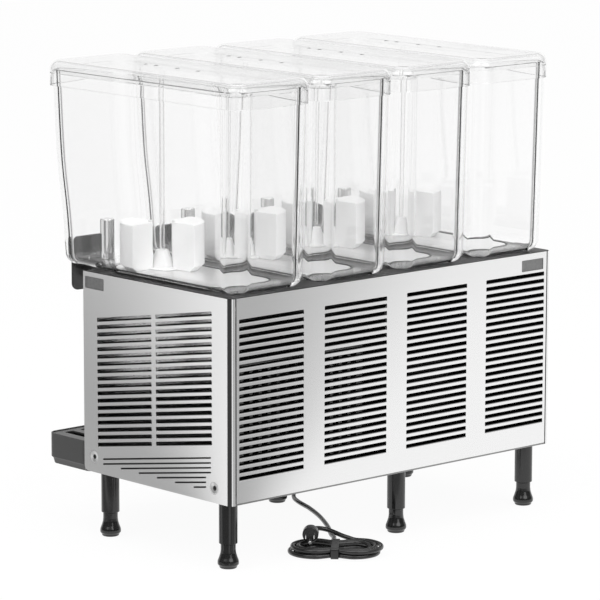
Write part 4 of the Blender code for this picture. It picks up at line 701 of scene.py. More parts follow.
def slottedSheetTree(name, look, withLips):
    # rows and columns of slots are cut from the outline curve, and each may have a leaning lip
    board, value = startTree(name, {
        "Geometry": ["Geometry"], "Int": ["Columns", "Rows"], "Vector": ["Middle"], "Material": ["Material"],
        "Float": ["Column Pitch", "Row Pitch", "Slot Width", "Slot Height", "Slot Corner", "Slope", "Sheet",
                  "Lip Length", "Lip Lean", "Lip Bend"]})
    grid = board.add("GeometryNodeMeshGrid", {
        "Size X": (value["Columns"] - 1) * value["Column Pitch"], "Vertices X": value["Columns"],
        "Size Y": (value["Rows"] - 1) * value["Row Pitch"], "Vertices Y": value["Rows"]})
    across = board.parts(board.add("GeometryNodeInputPosition"))[0]
    rise = board.add("ShaderNodeCombineXYZ", {"Y": across * value["Slope"]})
    shift = board.add("ShaderNodeVectorMath", {0: rise, 1: value["Middle"]}, operation="ADD")
    points = board.add("GeometryNodeSetPosition", {"Geometry": grid, "Offset": shift})
    turn = board.add("ShaderNodeCombineXYZ", {"Z": value["Slope"].maths("ARCTANGENT", value["Slope"])})
    slot = board.add("GeometryNodeCurvePrimitiveQuadrilateral", {
        0: value["Slot Width"], 1: value["Slot Height"]})
    slot = board.add("GeometryNodeFilletCurve", {"Curve": slot, "Radius": value["Slot Corner"],
                                                 1: look["cornerSteps"]}, mode="POLY")
    holes = board.add("GeometryNodeInstanceOnPoints", {"Points": points, "Instance": slot, "Rotation": turn})
    holes = board.add("GeometryNodeRealizeInstances", {"Geometry": holes})
    outline = board.add("GeometryNodeJoinGeometry", {0: [value["Geometry"], holes]})
    face = board.add("GeometryNodeFillCurve", {"Curve": outline})
    back = board.add("GeometryNodeExtrudeMesh", {
        "Mesh": face, "Offset": board.add("ShaderNodeCombineXYZ", {"Z": -1.0}),
        "Offset Scale": value["Sheet"], "Individual": False}, mode="FACES")
    back = board.add("GeometryNodeFlipFaces", {"Mesh": back})
    plate = board.add("GeometryNodeJoinGeometry", {0: [face, back]})
    result = board.add("GeometryNodeMergeByDistance", {"Geometry": plate, "Distance": look["mergeGap"]})
    if withLips:
        length, start, bend = value["Lip Length"], value["Lip Lean"], value["Lip Bend"]
        size = board.add("ShaderNodeCombineXYZ", {
            "X": value["Slot Width"] - look["room"], "Y": length, "Z": value["Sheet"] * look["wallShare"]})
        lip = board.add("GeometryNodeMeshCube", {
            "Size": size, "Vertices X": 2, "Vertices Y": look["steps"], "Vertices Z": 2})
        # its run bends over from the first lean to the last
        across, along, depth = board.parts(board.add("GeometryNodeInputPosition"))
        lean, radius = start + (along / length + 0.5) * bend, length / bend
        rise = radius * (lean.sine() - start.sine()) + depth * lean.sine() - value["Slot Height"] / 2
        sink = radius * (lean.cosine() - start.cosine()) + depth * lean.cosine() - value["Sheet"] / 2
        place = board.add("ShaderNodeCombineXYZ", {"X": across, "Y": rise - value["Sheet"] / 3, "Z": sink})
        lip = board.add("GeometryNodeSetPosition", {"Geometry": lip, "Position": place})
        lips = board.add("GeometryNodeInstanceOnPoints", {
            "Points": points, "Instance": lip, "Rotation": turn})
        result = board.add("GeometryNodeJoinGeometry", {0: [result, lips]})
    return closeTree(board, result, value["Material"])


def scatterTree():
    # puts the given piece at every point of the input mesh
    board, value = startTree("scatter", {
        "Geometry": ["Geometry"], "Object": ["Piece"], "Vector": ["Turn"], "Material": ["Material"]})
    source = board.add("GeometryNodeObjectInfo", {"Object": value["Piece"]}, "Geometry")
    spread = board.add("GeometryNodeInstanceOnPoints", {
        "Points": value["Geometry"], "Instance": source, "Rotation": value["Turn"]})
    return closeTree(board, spread, value["Material"])


lipTree = slottedSheetTree("slottedSheetLips", lipLook, True)
plainTree = slottedSheetTree("slottedSheet", lipLook, False)
pieceTree = scatterTree()


def outlineCurve(loops):
    curve = bpy.data.curves.new("outline", "CURVE")
    curve.dimensions = "3D"
    for loop in loops:
        spline = curve.splines.new("POLY")
        spline.points.add(len(loop) - 1)
        for point, (x, y) in zip(spline.points, loop):
            point.co = (x, y, 0.0, 1.0)
        spline.use_cyclic_u = True
    return curve


def runTree(data, tree, settings):
    # inputs are set by their socket's identifier before the object is first evaluated
    obj = bpy.data.objects.new("work", data)
    step = obj.modifiers.new("nodes", "NODES")
    step.node_group = tree
    for item in tree.interface.items_tree:
        if item.in_out == "INPUT" and item.name in settings:
            step[item.identifier] = settings[item.name]
    bpy.context.scene.collection.objects.link(obj)
    return readMesh(obj)


def scatter(mesh, spots, turn, material):
    source = workObject(mesh, "source")
    points = bpy.data.meshes.new("points")
    points.from_pydata(spots, [], [])
    result = runTree(points, pieceTree, {"Piece": source, "Turn": turn, "Material": material})
    bpy.data.objects.remove(source)
    return result


# Louvred panels with their screws and bare plates

panelLook = {
    "halfWidth": 0.344, "halfDepth": 0.175, "base": 0.104, "top": 0.422, "fold": 0.009, "groove": 0.0022,
    "rearBase": 0.107, "slotHeight": 0.0072, "slotCorner": 0.0014, "lipLength": 0.0052, "lipLean": 34.0,
    "lipBend": 46.0, "rearColumns": 4, "rearRows": 22, "rearWidth": 0.1315, "rearPitch": 0.1745,
    "rearStep": 0.0115, "rearLow": 0.141, "sideRows": 18, "sideWidth": 0.131, "sideGap": 0.0105,
    "sideShift": -0.005, "sideStep": 0.0117, "sideLow": 0.1455, "slope": 0.172, "fineHeight": 0.0026,
    "fineRun": 0.0435, "fineEnd": 0.129, "fineBase": 0.1205, "fineStep": 0.0078, "fineRows": 7,
    "shortRows": 3, "shortCut": 0.0115, "corner": 0.010, "fineRound": 0.9, "sharp": 20.0,
}
screwLook = {
    "places": ((-0.1510, 0.1287), (0.1363, 0.1268)), "hole": 0.0098, "slot": 0.0006, "slotReach": 0.00216,
    "slotDeep": (-0.00144, 0.0009),
    "cup": ((0.0039, -0.0022), (0.0039, -0.00108), (0.0045, -0.0009), (0.00768, -0.000315),
            (0.008928, 0.0), (0.0096, -0.00018), (0.0096, -0.0022)),
    "head": ((0.0, -0.000135), (0.0018, -0.000225), (0.00306, -0.00063), (0.0036, -0.00117),
             (0.0036, -0.0022), (0.0, -0.0022)),
}
plateLook = {
    "side": (-0.1700, -0.1250, 0.3960, 0.4145), "rear": (0.2765, 0.3250, 0.3940, 0.4120),
    "corner": 0.0012, "room": 0.0002, "rim": 0.0013, "well": 0.0004, "depth": 0.0015, "edge": 0.0003,
}


def plateHole(look, key):
    low, high, bottom, top = look[key]
    room = look["room"]
    return roundedBox(low - room, high + room, bottom - room, top + room, look["corner"] + room, 3)


def louvredSheet(loops, look, settings):
    return runTree(outlineCurve(loops), lipTree, {
        "Slot Height": look["slotHeight"], "Slot Corner": look["slotCorner"], "Sheet": sheetWall,
        "Lip Length": look["lipLength"], "Lip Lean": math.radians(look["lipLean"]),
        "Lip Bend": math.radians(look["lipBend"]), "Material": louvreSteelPaintedShade, **settings})


def rearPanel(look):
    edge = look["halfWidth"] - look["fold"] - look["groove"]
    low, top, rows = look["rearBase"], look["top"], look["rearRows"]
    middle = look["rearLow"] + look["slotHeight"] / 2 + (rows - 1) / 2 * look["rearStep"]
    outline = [(-edge, low), (edge, low), (edge, top), (-edge, top)]
    mesh = louvredSheet([outline, plateHole(plateLook, "rear")], look, {
        "Columns": look["rearColumns"], "Rows": rows, "Column Pitch": look["rearPitch"], "Slope": 0.0,
        "Row Pitch": look["rearStep"], "Middle": (0.0, middle, 0.0), "Slot Width": look["rearWidth"]})
    stand = upright((-1.0, 0.0, 0.0), (0.0, 1.0, 0.0), look["halfDepth"])
    mesh = moved(mesh, turn=stand)
    dress("rearPanel", mesh, louvreSteelPaintedShade, "cabinet", "rear_panel", look["sharp"])


def fineSlots(look, side):
    # the thin slots below the louvres, each lower one shorter
    loops = []
    half = look["fineHeight"] / 2
    for row in range(look["fineRows"]):
        start = -look["fineEnd"] + max(0, row - 1) * look["fineRun"]
        end = look["fineEnd"] - look["shortCut"] * (row >= look["fineRows"] - look["shortRows"])
        base = look["fineBase"] + look["fineStep"] * (1 - min(row, 1))
        corners = [(side * y, base + (y - start) * look["slope"] + lift)
                   for y, lift in ((start, -half), (end, -half), (end, half), (start, half))]
        loops.append(eased(corners[::side], half * look["fineRound"], 3, closed=True))
    return loops


def foldStrip(look, side):
    # the rounded upright edge between a side panel and the rear
    fold = look["fold"]
    middle = (look["halfWidth"] - fold, look["halfDepth"] - fold)
    outer, inner = (arc(middle, radius, 0.0, 90.0, 10) for radius in (fold, fold - sheetWall))
    return prism([(side * x, y) for x, y in outer + inner[::-1]], look["base"], look["top"])


def sidePanel(name, side, node, look):
    rows, slope, base, top = look["sideRows"], look["slope"], look["base"], look["top"]
    low, high = sorted((side * -look["halfDepth"], side * (look["halfDepth"] - look["fold"])))
    outline = [(low, base), (high, base), (high, top), (low, top)]
    front = 0 if side > 0 else 1
    # its lower front corner is rounded
    corner = [outline[front - 1], outline[front], outline[front + 1]]
    outline[front:front + 1] = eased(corner, look["corner"], 6)[1:-1]
    pitch = look["sideWidth"] + look["sideGap"]
    span = 2 * look["sideWidth"] + look["sideGap"]
    middle = look["sideLow"] + look["slotHeight"] / 2 + (rows - 1) / 2 * look["sideStep"] + span / 2 * slope
    holes = fineSlots(look, side)
    holes += [circle((side * y, z), screwLook["hole"], 32) for y, z in screwLook["places"]]
    if side > 0:
        holes.append(plateHole(plateLook, "side"))
    mesh = louvredSheet([outline] + holes, look, {
        "Columns": 2, "Rows": rows, "Column Pitch": pitch, "Row Pitch": look["sideStep"],
        "Slope": side * slope, "Middle": (side * look["sideShift"], middle, 0.0),
        "Slot Width": look["sideWidth"] / math.cos(math.atan(slope))})
    stand = upright((0.0, side, 0.0), (side, 0.0, 0.0), look["halfWidth"])
    mesh = joined(name, [moved(mesh, turn=stand), foldStrip(look, side)])
    dress(name, mesh, louvreSteelPaintedShade, "cabinet", node, look["sharp"])


shadeSheetLook = {
    "gap": 0.0080, "thickness": 0.0030, "corner": 0.0060, "low": 0.1080, "high": 0.4000,
    "halfRun": 0.1420, "edge": 0.0006,
}


def airFilter(look):
    # a black sheet behind the left louvres, standing in for the shade inside the cabinet, which keeps
    # daylight from showing through the cabinet
    outline = roundedBox(-look["halfRun"], look["halfRun"], look["low"], look["high"], look["corner"], 4)
    pad = slab("pad", outline, 0.0, look["thickness"], look["edge"], 2)
    stand = upright((0.0, 1.0, 0.0), (1.0, 0.0, 0.0), look["gap"] - panelLook["halfWidth"],
                    (0.0, panelLook["sideShift"], 0.0))
    dress("airFilter", moved(pad, turn=stand), motorPaint, "cabinet")


def sideScrews(look):
    # dished rings pressed into the side sheets, each with a domed cross-head screw at its middle
    screw = turned("screw", look["head"], 32)
    low, high = look["slotDeep"]
    for x, y in ((look["slotReach"], look["slot"]), (look["slot"], look["slotReach"])):
        screw = carve(screw, boxMesh("bar", (-x, -y, low), (x, y, high)), "DIFFERENCE")
    cup = turned("cup", look["cup"], 40)
    for name, mesh, material, slotName in (("screwCups", cup, plateSteel, "polished_steel"),
                                           ("screwHeads", screw, black, "black_paint")):
        parts = []
        for side in (-1, 1):
            spots = [(side * panelLook["halfWidth"], y, z) for y, z in look["places"]]
            parts.append(scatter(mesh, spots, (0.0, side * math.pi / 2, 0.0), material))
        dress(name, joined(name, parts), material, "cabinet", sharp=30.0)


def blankPlates(look):
    # bare metal plates let into the panels, each with a raised rim
    parts = []
    rim = look["rim"]
    for key, right, out, reach in (("side", (0.0, 1.0, 0.0), (1.0, 0.0, 0.0), panelLook["halfWidth"]),
                                   ("rear", (-1.0, 0.0, 0.0), (0.0, 1.0, 0.0), panelLook["halfDepth"])):
        low, high, bottom, top = look[key]
        outline = roundedBox(low, high, bottom, top, look["corner"], 3)
        plate = slab("plate", outline, -look["depth"], 0.0, look["edge"], 2)
        well = boxMesh("well", (low + rim, bottom + rim, -look["well"]),
                       (high - rim, top - rim, look["depth"]))
        parts.append(moved(carve(plate, well, "DIFFERENCE"), turn=upright(right, out, reach)))
    dress("blankPlates", joined("blankPlates", parts), badgeMetal, "cabinet", sharp=30.0)


# the louvred sheets' steel carries a painted dark reflection on the fold and painted shade in the louvres
louvreSteelPaintedShade = brushedSteel("louvreSteelPaintedShade", steelLook, True)
airFilter(shadeSheetLook)
rearPanel(panelLook)
sidePanel("sidePanelRight", 1, "side_panel_right", panelLook)
sidePanel("sidePanelLeft", -1, "side_panel_left", panelLook)
print("panels louvred")
sideScrews(screwLook)
blankPlates(plateLook)
print("screws and plates fitted")


# Bowls and lids

bowlLook = {
    "wall": 0.0035, "width": 0.1566, "sideDraft": 0.0028, "rear": 0.1762, "rearDraft": 0.0055,
    "front": 0.2735, "frontDraft": 0.0250, "base": 0.4229, "rim": 0.7305, "corner": 0.0248,
    "cornerFill": 0.0110, "foot": 0.0200, "sweep": ((0.0, 0.0), (0.22, 0.22), (0.52, 0.70), (1.0, 1.0)),
    "heights": 14, "footSteps": 7, "rimSteps": 4, "tapY": -0.2185, "spoutRadius": 0.0130,
    "spoutBore": 0.0080, "spoutDrop": 0.0180, "spoutEdge": 0.0008, "ear": 0.0145, "earThickness": 0.0040,
    "earBack": 0.001, "earRound": 0.0060, "pivotForward": 0.0215, "pivotDrop": 0.0110,
    "pivotRadius": 0.0027, "pivotReach": 0.02, "sharp": 32.0,
}
plateOutline = {
    "hubY": -0.084, "length": 0.260, "width": 0.118, "corner": 0.030, "front": 0.062, "edge": 0.0006,
    "gasket": 0.0036, "gasketEdge": 0.0004, "gasketCut": (0.41, 0.44),
}
floorTop = bowlLook["base"] + bowlLook["wall"]
pivotY, pivotZ = bowlLook["tapY"] - bowlLook["pivotForward"], bowlLook["base"] - bowlLook["pivotDrop"]


def sweepAt(share, stops):
    # a smooth rise through the stops
    for index in range(1, len(stops)):
        if share <= stops[index][0]:
            break
    (x0, y0), (x1, y1) = stops[index - 1], stops[index]
    before = stops[index - 2] if index > 1 else (2 * x0 - x1, 2 * y0 - y1)
    after = stops[index + 1] if index + 1 < len(stops) else (2 * x1 - x0, 2 * y1 - y0)
    span = x1 - x0
    t = (share - x0) / span
    slopeIn = (y1 - before[1]) / (x1 - before[0]) * span
    slopeOut = (after[1] - y0) / (after[0] - x0) * span
    return ((2 * t ** 3 - 3 * t ** 2 + 1) * y0 + (t ** 3 - 2 * t ** 2 + t) * slopeIn
            + (3 * t ** 2 - 2 * t ** 3) * y1 + (t ** 3 - t ** 2) * slopeOut)


def bowlRing(look, share, inset, wall, z):
    front = sweepAt(share, look["sweep"])
    halfX = look["width"] / 2 - look["sideDraft"] * (1 - share) - inset - wall
    frontY = -(look["front"] - look["frontDraft"] * (1 - front)) + inset + wall
    rearY = look["rear"] - look["rearDraft"] * (1 - share) - inset - wall
    # the corners are moulded thicker than the walls
    radius = look["corner"] - inset - wall + (look["cornerFill"] if wall else 0.0)
    return raised(roundedBox(-halfX, halfX, frontY, rearY, radius), z)


def bowlWall(look, wall):
    rings = []
    foot, base = look["foot"] - wall, look["base"] + wall
    for step in range(look["footSteps"]):
        angle = math.pi / 2 * step / look["footSteps"]
        inset, rise = foot * (1 - math.sin(angle)), foot * (1 - math.cos(angle))
        rings.append(bowlRing(look, 0.0, inset, wall, base + rise))
    start = look["base"] + look["foot"]
    lift = look["rim"] - start - look["wall"] / 2
    for step in range(look["heights"] + 1):
        share = step / look["heights"]
        rings.append(bowlRing(look, share, 0.0, wall, start + lift * share))
    return rings


def plateRing(grow):
    plate = plateOutline
    half, front = plate["width"] / 2 + grow, plate["hubY"] - plate["front"] - grow
    return roundedBox(-half, half, front, front + plate["length"] + 2 * grow, plate["corner"] + grow, 12)


def crossRod(radius, reach):
    return moved(rod(radius, -reach, reach, 24), (0.0, pivotY, pivotZ), Matrix.Rotation(math.pi / 2, 4, "Y"))


def bowlMesh(look):
    base, half = look["base"], look["wall"] / 2
    tap, spout, low = (0.0, look["tapY"], 0.0), look["spoutRadius"], look["base"] - look["spoutDrop"]
    rim = []
    for step in range(1, look["rimSteps"]):
        angle = math.pi * step / look["rimSteps"]
        wall, top = half * (1 - math.cos(angle)), look["rim"] - half + half * math.sin(angle)
        rim.append(bowlRing(look, 1.0, 0.0, wall, top))
    mesh = loft("bowl", bowlWall(look, 0.0) + rim + bowlWall(look, look["wall"])[::-1])
    profile = [(0.0, low), (spout, low), (spout, base + half), (0.0, base + half)]
    mesh = carve(mesh, moved(turned("spout", eased(profile, look["spoutEdge"], 3), 48), tap), "UNION")
    earTop, earBack = base + look["wall"] * 2 / 3, look["tapY"] - look["earBack"]
    shape = [(earBack, earTop), (earBack, pivotZ - look["earRound"])]
    shape += arc((pivotY, pivotZ), look["earRound"], -90.0, -90.0, 8) + [(pivotY - look["earRound"], earTop)]
    for middle in (-look["ear"], look["ear"]):
        faces = (middle - look["earThickness"] / 2, middle + look["earThickness"] / 2)
        mesh = carve(mesh, loft("ear", [[(x, y, z) for y, z in shape] for x in faces]), "UNION")
    well = prism(plateRing(plateOutline["gasket"] + 2 * touchGap), base - cutRoom, floorTop + cutRoom)
    mesh = carve(mesh, well, "DIFFERENCE")
    bore = rod(look["spoutBore"], low - cutRoom, floorTop + cutRoom, 40)
    mesh = carve(mesh, moved(bore, tap), "DIFFERENCE")
    return carve(mesh, crossRod(look["pivotRadius"], look["pivotReach"]), "DIFFERENCE")


lidLook = {
    "wall": 0.0025, "clearance": 0.0004, "skirt": 0.0260, "crown": 0.0130, "frontRoom": 0.0030,
    "corner": 0.0276, "shoulder": 0.0115, "runShare": 0.3, "roundness": 0.9, "steps": 8,
    "roll": (0.0006, 0.0008), "skirtStep": ((-0.0065, 0.0), (-0.0058, 0.0005), (-0.0050, 0.0005)),
    "ventSpots": (0.0000, 0.0249, 0.0756, 0.1244), "ventStart": -0.1240, "ventRadius": 0.0036,
    "ventDeep": 0.006,
    "ventEdge": ((0.0036, -0.0012), (0.0036, -0.0002), (0.0034, 0.0), (0.0022, 0.0), (0.0022, -0.0012)),
}


def lidRings(look, wall):
    halfX = bowlLook["width"] / 2 + look["clearance"] + look["wall"] - wall
    front = -(bowlLook["front"] + look["frontRoom"] + look["wall"]) + wall
    rear = bowlLook["rear"] + look["clearance"] + look["wall"] - wall
    foot, low = bowlLook["rim"] + touchGap, bowlLook["rim"] - look["skirt"]
    levels = [(low, 0.0)]
    if not wall:
        # the lower edge is rolled, and a fine step runs round the skirt
        levels = [(low, look["roll"][0]), (low + look["roll"][1], 0.0)]
        levels += [(foot + lift, inset) for lift, inset in look["skirtStep"]]
    rise, run = look["crown"] - wall, look["shoulder"] - wall * look["runShare"]
    for step in range(look["steps"] + 1):
        angle = math.pi / 2 * step / look["steps"]
        levels.append((foot + rise * math.sin(angle), run * (1 - math.cos(angle)) ** look["roundness"]))
    return [raised(roundedBox(-halfX + inset, halfX - inset, front + inset, rear - inset,
                              look["corner"] - inset - wall), z) for z, inset in levels]


def lidMesh(look):
    top = bowlLook["rim"] + look["crown"]
    hole = rod(look["ventRadius"], top - look["ventDeep"], top + cutRoom, 24)
    holes = [moved(hole, (0.0, look["ventStart"] + spot, 0.0)) for spot in look["ventSpots"]]
    shell = loft("lid", lidRings(look, look["wall"])[::-1] + lidRings(look, 0.0))
    return carve(shell, joined("holes", holes), "DIFFERENCE")


def ventMesh(look):
    # round vents in a line on the top of the lid, each with a dark rolled edge
    top = bowlLook["rim"] + touchGap + look["crown"]
    spots = [(0.0, look["ventStart"] + spot, top) for spot in look["ventSpots"]]
    return scatter(turned("vent", look["ventEdge"], 24, closed=True), spots, (0.0, 0.0, 0.0), gasketRubber)


bowlShell, lidShell, lidVents = bowlMesh(bowlLook), lidMesh(lidLook), ventMesh(lidLook)
for number, x in bowlPlaces.items():
    bowl, lid, spot = "bowl_%d" % number, "lid_%d" % number, (x, 0.0, 0.0)
    dress(bowl + "Shell", moved(bowlShell, spot), clear, bowl, bowl, bowlLook["sharp"])
    dress(lid + "Shell", moved(lidShell, spot), clear, lid, lid, bowlLook["sharp"])
    dress(lid + "Vents", moved(lidVents, spot), gasketRubber, lid)
print("bowls and lids made")


# Cold plates, gaskets and agitators

agitatorLook = {
    "reach": 0.066, "root": 0.021, "height": 0.074, "spread": 88.0, "turn": -37.6, "bevel": 0.008,
    "edge": 0.0012, "topShrink": 0.036, "steps": 16, "corner": 0.0020, "hub": 0.030, "disc": 0.0035,
    "cone": 0.026, "coneFoot": 0.020, "coneTop": 0.0095, "tube": 0.0040, "tubeWall": 0.0010,
    "tubeTop": 0.7349, "tubeEdge": (0.0004, 0.0006), "tubeSink": 0.002, "proud": 0.0015,
}


def bladeMesh(look, direction, low):
    # one curved blade, thick at its rounded edges, lofted up from the hub disc
    edge, top = look["edge"], low + look["height"]
    rings = []
    for z, reach in ((low, look["reach"] - look["bevel"]), (low + look["bevel"], look["reach"]),
                     (top - edge, look["reach"]), (top, look["reach"] - edge)):
        inset, shrink = (edge, look["topShrink"]) if z == top else (0.0, 0.0)
        points = []
        for radius, order in ((reach, 1), (look["root"] + inset, -1)):
            for step in range(look["steps"] + 1)[::order]:
                angle = direction + (math.radians(look["spread"]) - shrink) * (step / look["steps"] - 0.5)
                points.append((radius * math.cos(angle), radius * math.sin(angle)))
        rings.append(raised(eased(points, look["corner"], 4, closed=True), z))
    return loft("blade", rings)


def agitatorMeshes(look):
    low = floorTop + look["proud"] + touchGap
    discTop = low + look["disc"]
    coneTop = discTop + look["cone"]
    profile = [(0.0, coneTop), (look["coneTop"], coneTop), (look["coneFoot"], discTop),
               (look["hub"], discTop), (look["hub"], low), (0.0, low)]
    hub = turned("hub", eased(profile, look["edge"], 3), 48)
    for direction in (math.radians(look["turn"]), math.radians(look["turn"]) + math.pi):
        hub = carve(hub, bladeMesh(look, direction, low), "UNION")
    outer, top, foot = look["tube"], look["tubeTop"], coneTop - look["tubeSink"]
    bore, (inset, drop) = outer - look["tubeWall"], look["tubeEdge"]
    profile = ((outer, foot), (outer, top - drop), (outer - inset, top), (bore, top), (bore, foot))
    return hub, turned("tube", profile, 32, closed=True)


plateMesh = slab("coldPlate", plateRing(0.0), bowlLook["base"], floorTop + agitatorLook["proud"],
                 plateOutline["edge"])
gasketMesh = slab("gasket", plateRing(touchGap + plateOutline["gasket"]), bowlLook["base"], floorTop,
                  plateOutline["gasketEdge"], 2)
gasketMesh = carve(gasketMesh, prism(plateRing(touchGap), *plateOutline["gasketCut"]), "DIFFERENCE")
hubMesh, tubeMesh = agitatorMeshes(agitatorLook)
for number, x in bowlPlaces.items():
    label, spot, hubSpot = "agitator_%d" % number, (x, 0.0, 0.0), (x, plateOutline["hubY"], 0.0)
    dress(label + "Blades", moved(hubMesh, hubSpot), white, label, label, 40.0)
    dress(label + "Tube", moved(tubeMesh, hubSpot), tubeClear, label)
    dress("coldPlate%d" % number, moved(plateMesh, spot), plateSteel, "cabinet",
          "cold_plate_%d" % number)
    dress("bowlGasket%d" % number, moved(gasketMesh, spot), gasketRubber, "cabinet",
          "bowl_gasket_%d" % number)
print("agitators made")


# Taps: valve plungers and push handles

tapLook = {
    "plungerRadius": 0.0114, "plungerHeight": 0.0635, "plungerWall": 0.0012, "plungerEdge": 0.0014,
    "rod": 0.0040, "rodDrop": 0.0270, "width": 0.0860, "top": 0.461, "bottom": 0.375, "back": 0.2545,
    "thickness": 0.0045, "corner": 0.0110, "edge": 0.0011, "armInner": 0.0173, "arm": 0.0040,
    "armHeight": 0.0120, "pin": 0.0024, "fingerWidth": 0.0080, "finger": 0.0040, "fingerEdge": 0.0008,
}


def plungerMesh(look):
    low = floorTop + 2 * touchGap
    top, rodLow = low + look["plungerHeight"], bowlLook["base"] - look["rodDrop"]
    radius, wall, stem = look["plungerRadius"], look["plungerWall"], look["rod"]
    profile = [(0.0, top), (radius, top), (radius, low), (radius - wall, low), (radius - wall, top - wall),
               (stem, top - wall), (stem, rodLow), (0.0, rodLow)]
    return turned("plunger", eased(profile, look["plungerEdge"]), 56)


def handleMesh(look):
    # plate, arms, pin and finger of one moulding, with softened edges
    half, rise = look["width"] / 2, look["armHeight"] / 2
    outline = roundedBox(-half, half, look["bottom"], look["top"], look["corner"], 8)
    plate = slab("handle", outline, 0.0, look["thickness"], look["edge"])
    mesh = moved(plate, turn=upright((1.0, 0.0, 0.0), (0.0, -1.0, 0.0), look["back"]))
    middle = -look["back"] - look["thickness"] / 2
    for side in (-1, 1):
        low, high = sorted((side * look["armInner"], side * (look["armInner"] + look["arm"])))
        arm = boxMesh("arm", (low, middle, pivotZ - rise), (high, pivotY + rise, pivotZ + rise))
        mesh = carve(mesh, softened(arm, look["edge"], 3), "UNION")
    top, half = bowlLook["base"] - look["rodDrop"] - touchGap, look["fingerWidth"] / 2
    finger = boxMesh("finger", (-half, middle, top - look["finger"]),
                     (half, bowlLook["tapY"] + look["rod"], top))
    mesh = carve(mesh, softened(finger, look["fingerEdge"]), "UNION")
    return carve(mesh, crossRod(look["pin"], look["armInner"] + look["arm"] / 2), "UNION")


plungerShape, handleShape = plungerMesh(tapLook), handleMesh(tapLook)
for number, x in bowlPlaces.items():
    dress("valvePlunger%d" % number, moved(plungerShape, (x, bowlLook["tapY"], 0.0)), chrome,
          "plunger_%d" % number, "valve_plunger_%d" % number)
    dress("pushHandle%d" % number, moved(handleShape, (x, 0.0, 0.0)), black, "handle_%d" % number,
          "dispense_handle_%d" % number, 40.0)
print("taps made")


# Legs and feet

legLook = {
    "x": (-0.320, -0.033, 0.320), "y": (-0.141, 0.141), "top": 0.1037, "sleeve": 0.01435,
    "sleeveEdge": 0.0008, "lift": 0.0385, "stem": 0.0060, "bore": 0.0066, "boreRoom": 0.0006,
    "reach": 0.0838, "footEdge": 0.0010,
    "foot": ((0.0116, 0.0385), (0.0116, 0.0290), (0.0122, 0.0235), (0.0142, 0.0170), (0.0160, 0.0125),
             (0.0165, 0.0100), (0.0165, 0.0068), (0.0158, 0.0054), (0.0148, 0.0046), (0.0142, 0.0038),
             (0.0133, 0.0008), (0.0120, 0.0), (0.0, 0.0)),
}


def legMeshes(look):
    low, bore, end = look["lift"] + touchGap, look["bore"], look["reach"] + look["boreRoom"]
    sleeve = [(0.0, look["top"]), (look["sleeve"], look["top"]), (look["sleeve"], low), (bore, low),
              (bore, end), (0.0, end)]
    foot = [(0.0, look["reach"]), (look["stem"], look["reach"]), (look["stem"], look["lift"]), *look["foot"]]
    return (turned("sleeve", eased(sleeve, look["sleeveEdge"], 3), 40),
            turned("foot", eased(foot, look["footEdge"], 3), 40))


sleeveMesh, footMesh = legMeshes(legLook)
for index in range(6):
    number, spot = index + 1, (legLook["x"][index % 3], legLook["y"][index // 3], 0.0)
    leg, foot = "leg_%d" % number, "foot_%d" % number
    dress("legSleeve%d" % number, moved(sleeveMesh, spot), legBlack, "cabinet", leg)
    dress("legFoot%d" % number, moved(footMesh, spot), legBlack, foot, foot)
print("legs made")


# Drip tray and its grille; a row of outer or inner holds height, inset, inset at the rear and wall

trayLook = {
    "front": -0.281, "rear": -0.179, "halfWidth": 0.334, "top": 0.147, "wall": 0.0025, "corner": 0.015,
    "outer": ((0.097, 0.006, 0.003, 0.0), (0.0978, 0.0051, 0.0021, 0.0), (0.1055, 0.003, 0.0, 0.0),
              (0.1085, 0.0, 0.0, 0.0), (0.1464, 0.0, 0.0, 0.0), (0.147, 0.0006, 0.0006, 0.0)),
    "inner": ((0.147, 0.0, 0.0, 0.0019), (0.1464, 0.0, 0.0, 0.0025), (0.111, 0.0, 0.0, 0.0025),
              (0.108, 0.003, 0.0, 0.0025), (0.0995, 0.006, 0.003, 0.0025)),
    "ledge": 0.004, "ledgeShare": 0.4, "grille": 0.003, "sink": 0.0015, "rim": 0.012, "slots": 20,
    "slotShare": 0.55, "slotCorner": 0.0035, "slotEdge": 0.0006,
}


def trayRing(look, z, inset, rearInset, wall):
    half, rear = look["halfWidth"] - inset - wall, look["rear"] - rearInset - wall
    front = look["front"] + inset + wall
    return raised(roundedBox(-half, half, front, rear, look["corner"] - inset - wall, 8), z)


def trayMesh(look):
    tray = loft("tray", [trayRing(look, *row) for row in look["outer"] + look["inner"]])
    wall, ledge = look["wall"], look["ledge"]
    seat = look["top"] - look["sink"] - look["grille"] - touchGap
    rows = ((seat - ledge, wall / 2), (seat, wall / 2), (seat, wall + ledge),
            (seat - ledge, wall + ledge * look["ledgeShare"]))
    rings = [trayRing(look, z, 0.0, 0.0, inset) for z, inset in rows]
    return carve(tray, loft("ledge", rings, closed=True), "UNION")


def grilleMesh(look):
    inset = look["wall"] + 2 * touchGap
    halfX, front, rear = look["halfWidth"] - inset, look["front"] + inset, look["rear"] - inset
    pitch = 2 * (halfX - look["rim"]) / look["slots"]
    outline = outlineCurve([roundedBox(-halfX, halfX, front, rear, look["corner"] - inset, 8)])
    mesh = runTree(outline, plainTree, {
        "Columns": look["slots"], "Rows": 1, "Column Pitch": pitch, "Row Pitch": 0.0, "Slope": 0.0,
        "Middle": (0.0, (front + rear) / 2, 0.0), "Slot Width": pitch * look["slotShare"],
        "Slot Height": rear - front - 2 * look["rim"], "Slot Corner": look["slotCorner"],
        "Sheet": look["grille"], "Material": trayBlack})
    return softened(moved(mesh, (0.0, 0.0, look["top"] - look["sink"])), look["slotEdge"], 2, 50.0)


dress("dripTrayShell", trayMesh(trayLook), trayBlack, "drip_tray", "drip_tray")
dress("dripGrilleBars", grilleMesh(trayLook), trayBlack, "drip_grille", "drip_grille", 50.0)
print("drip tray made")


# Finishes of the frame's own pieces

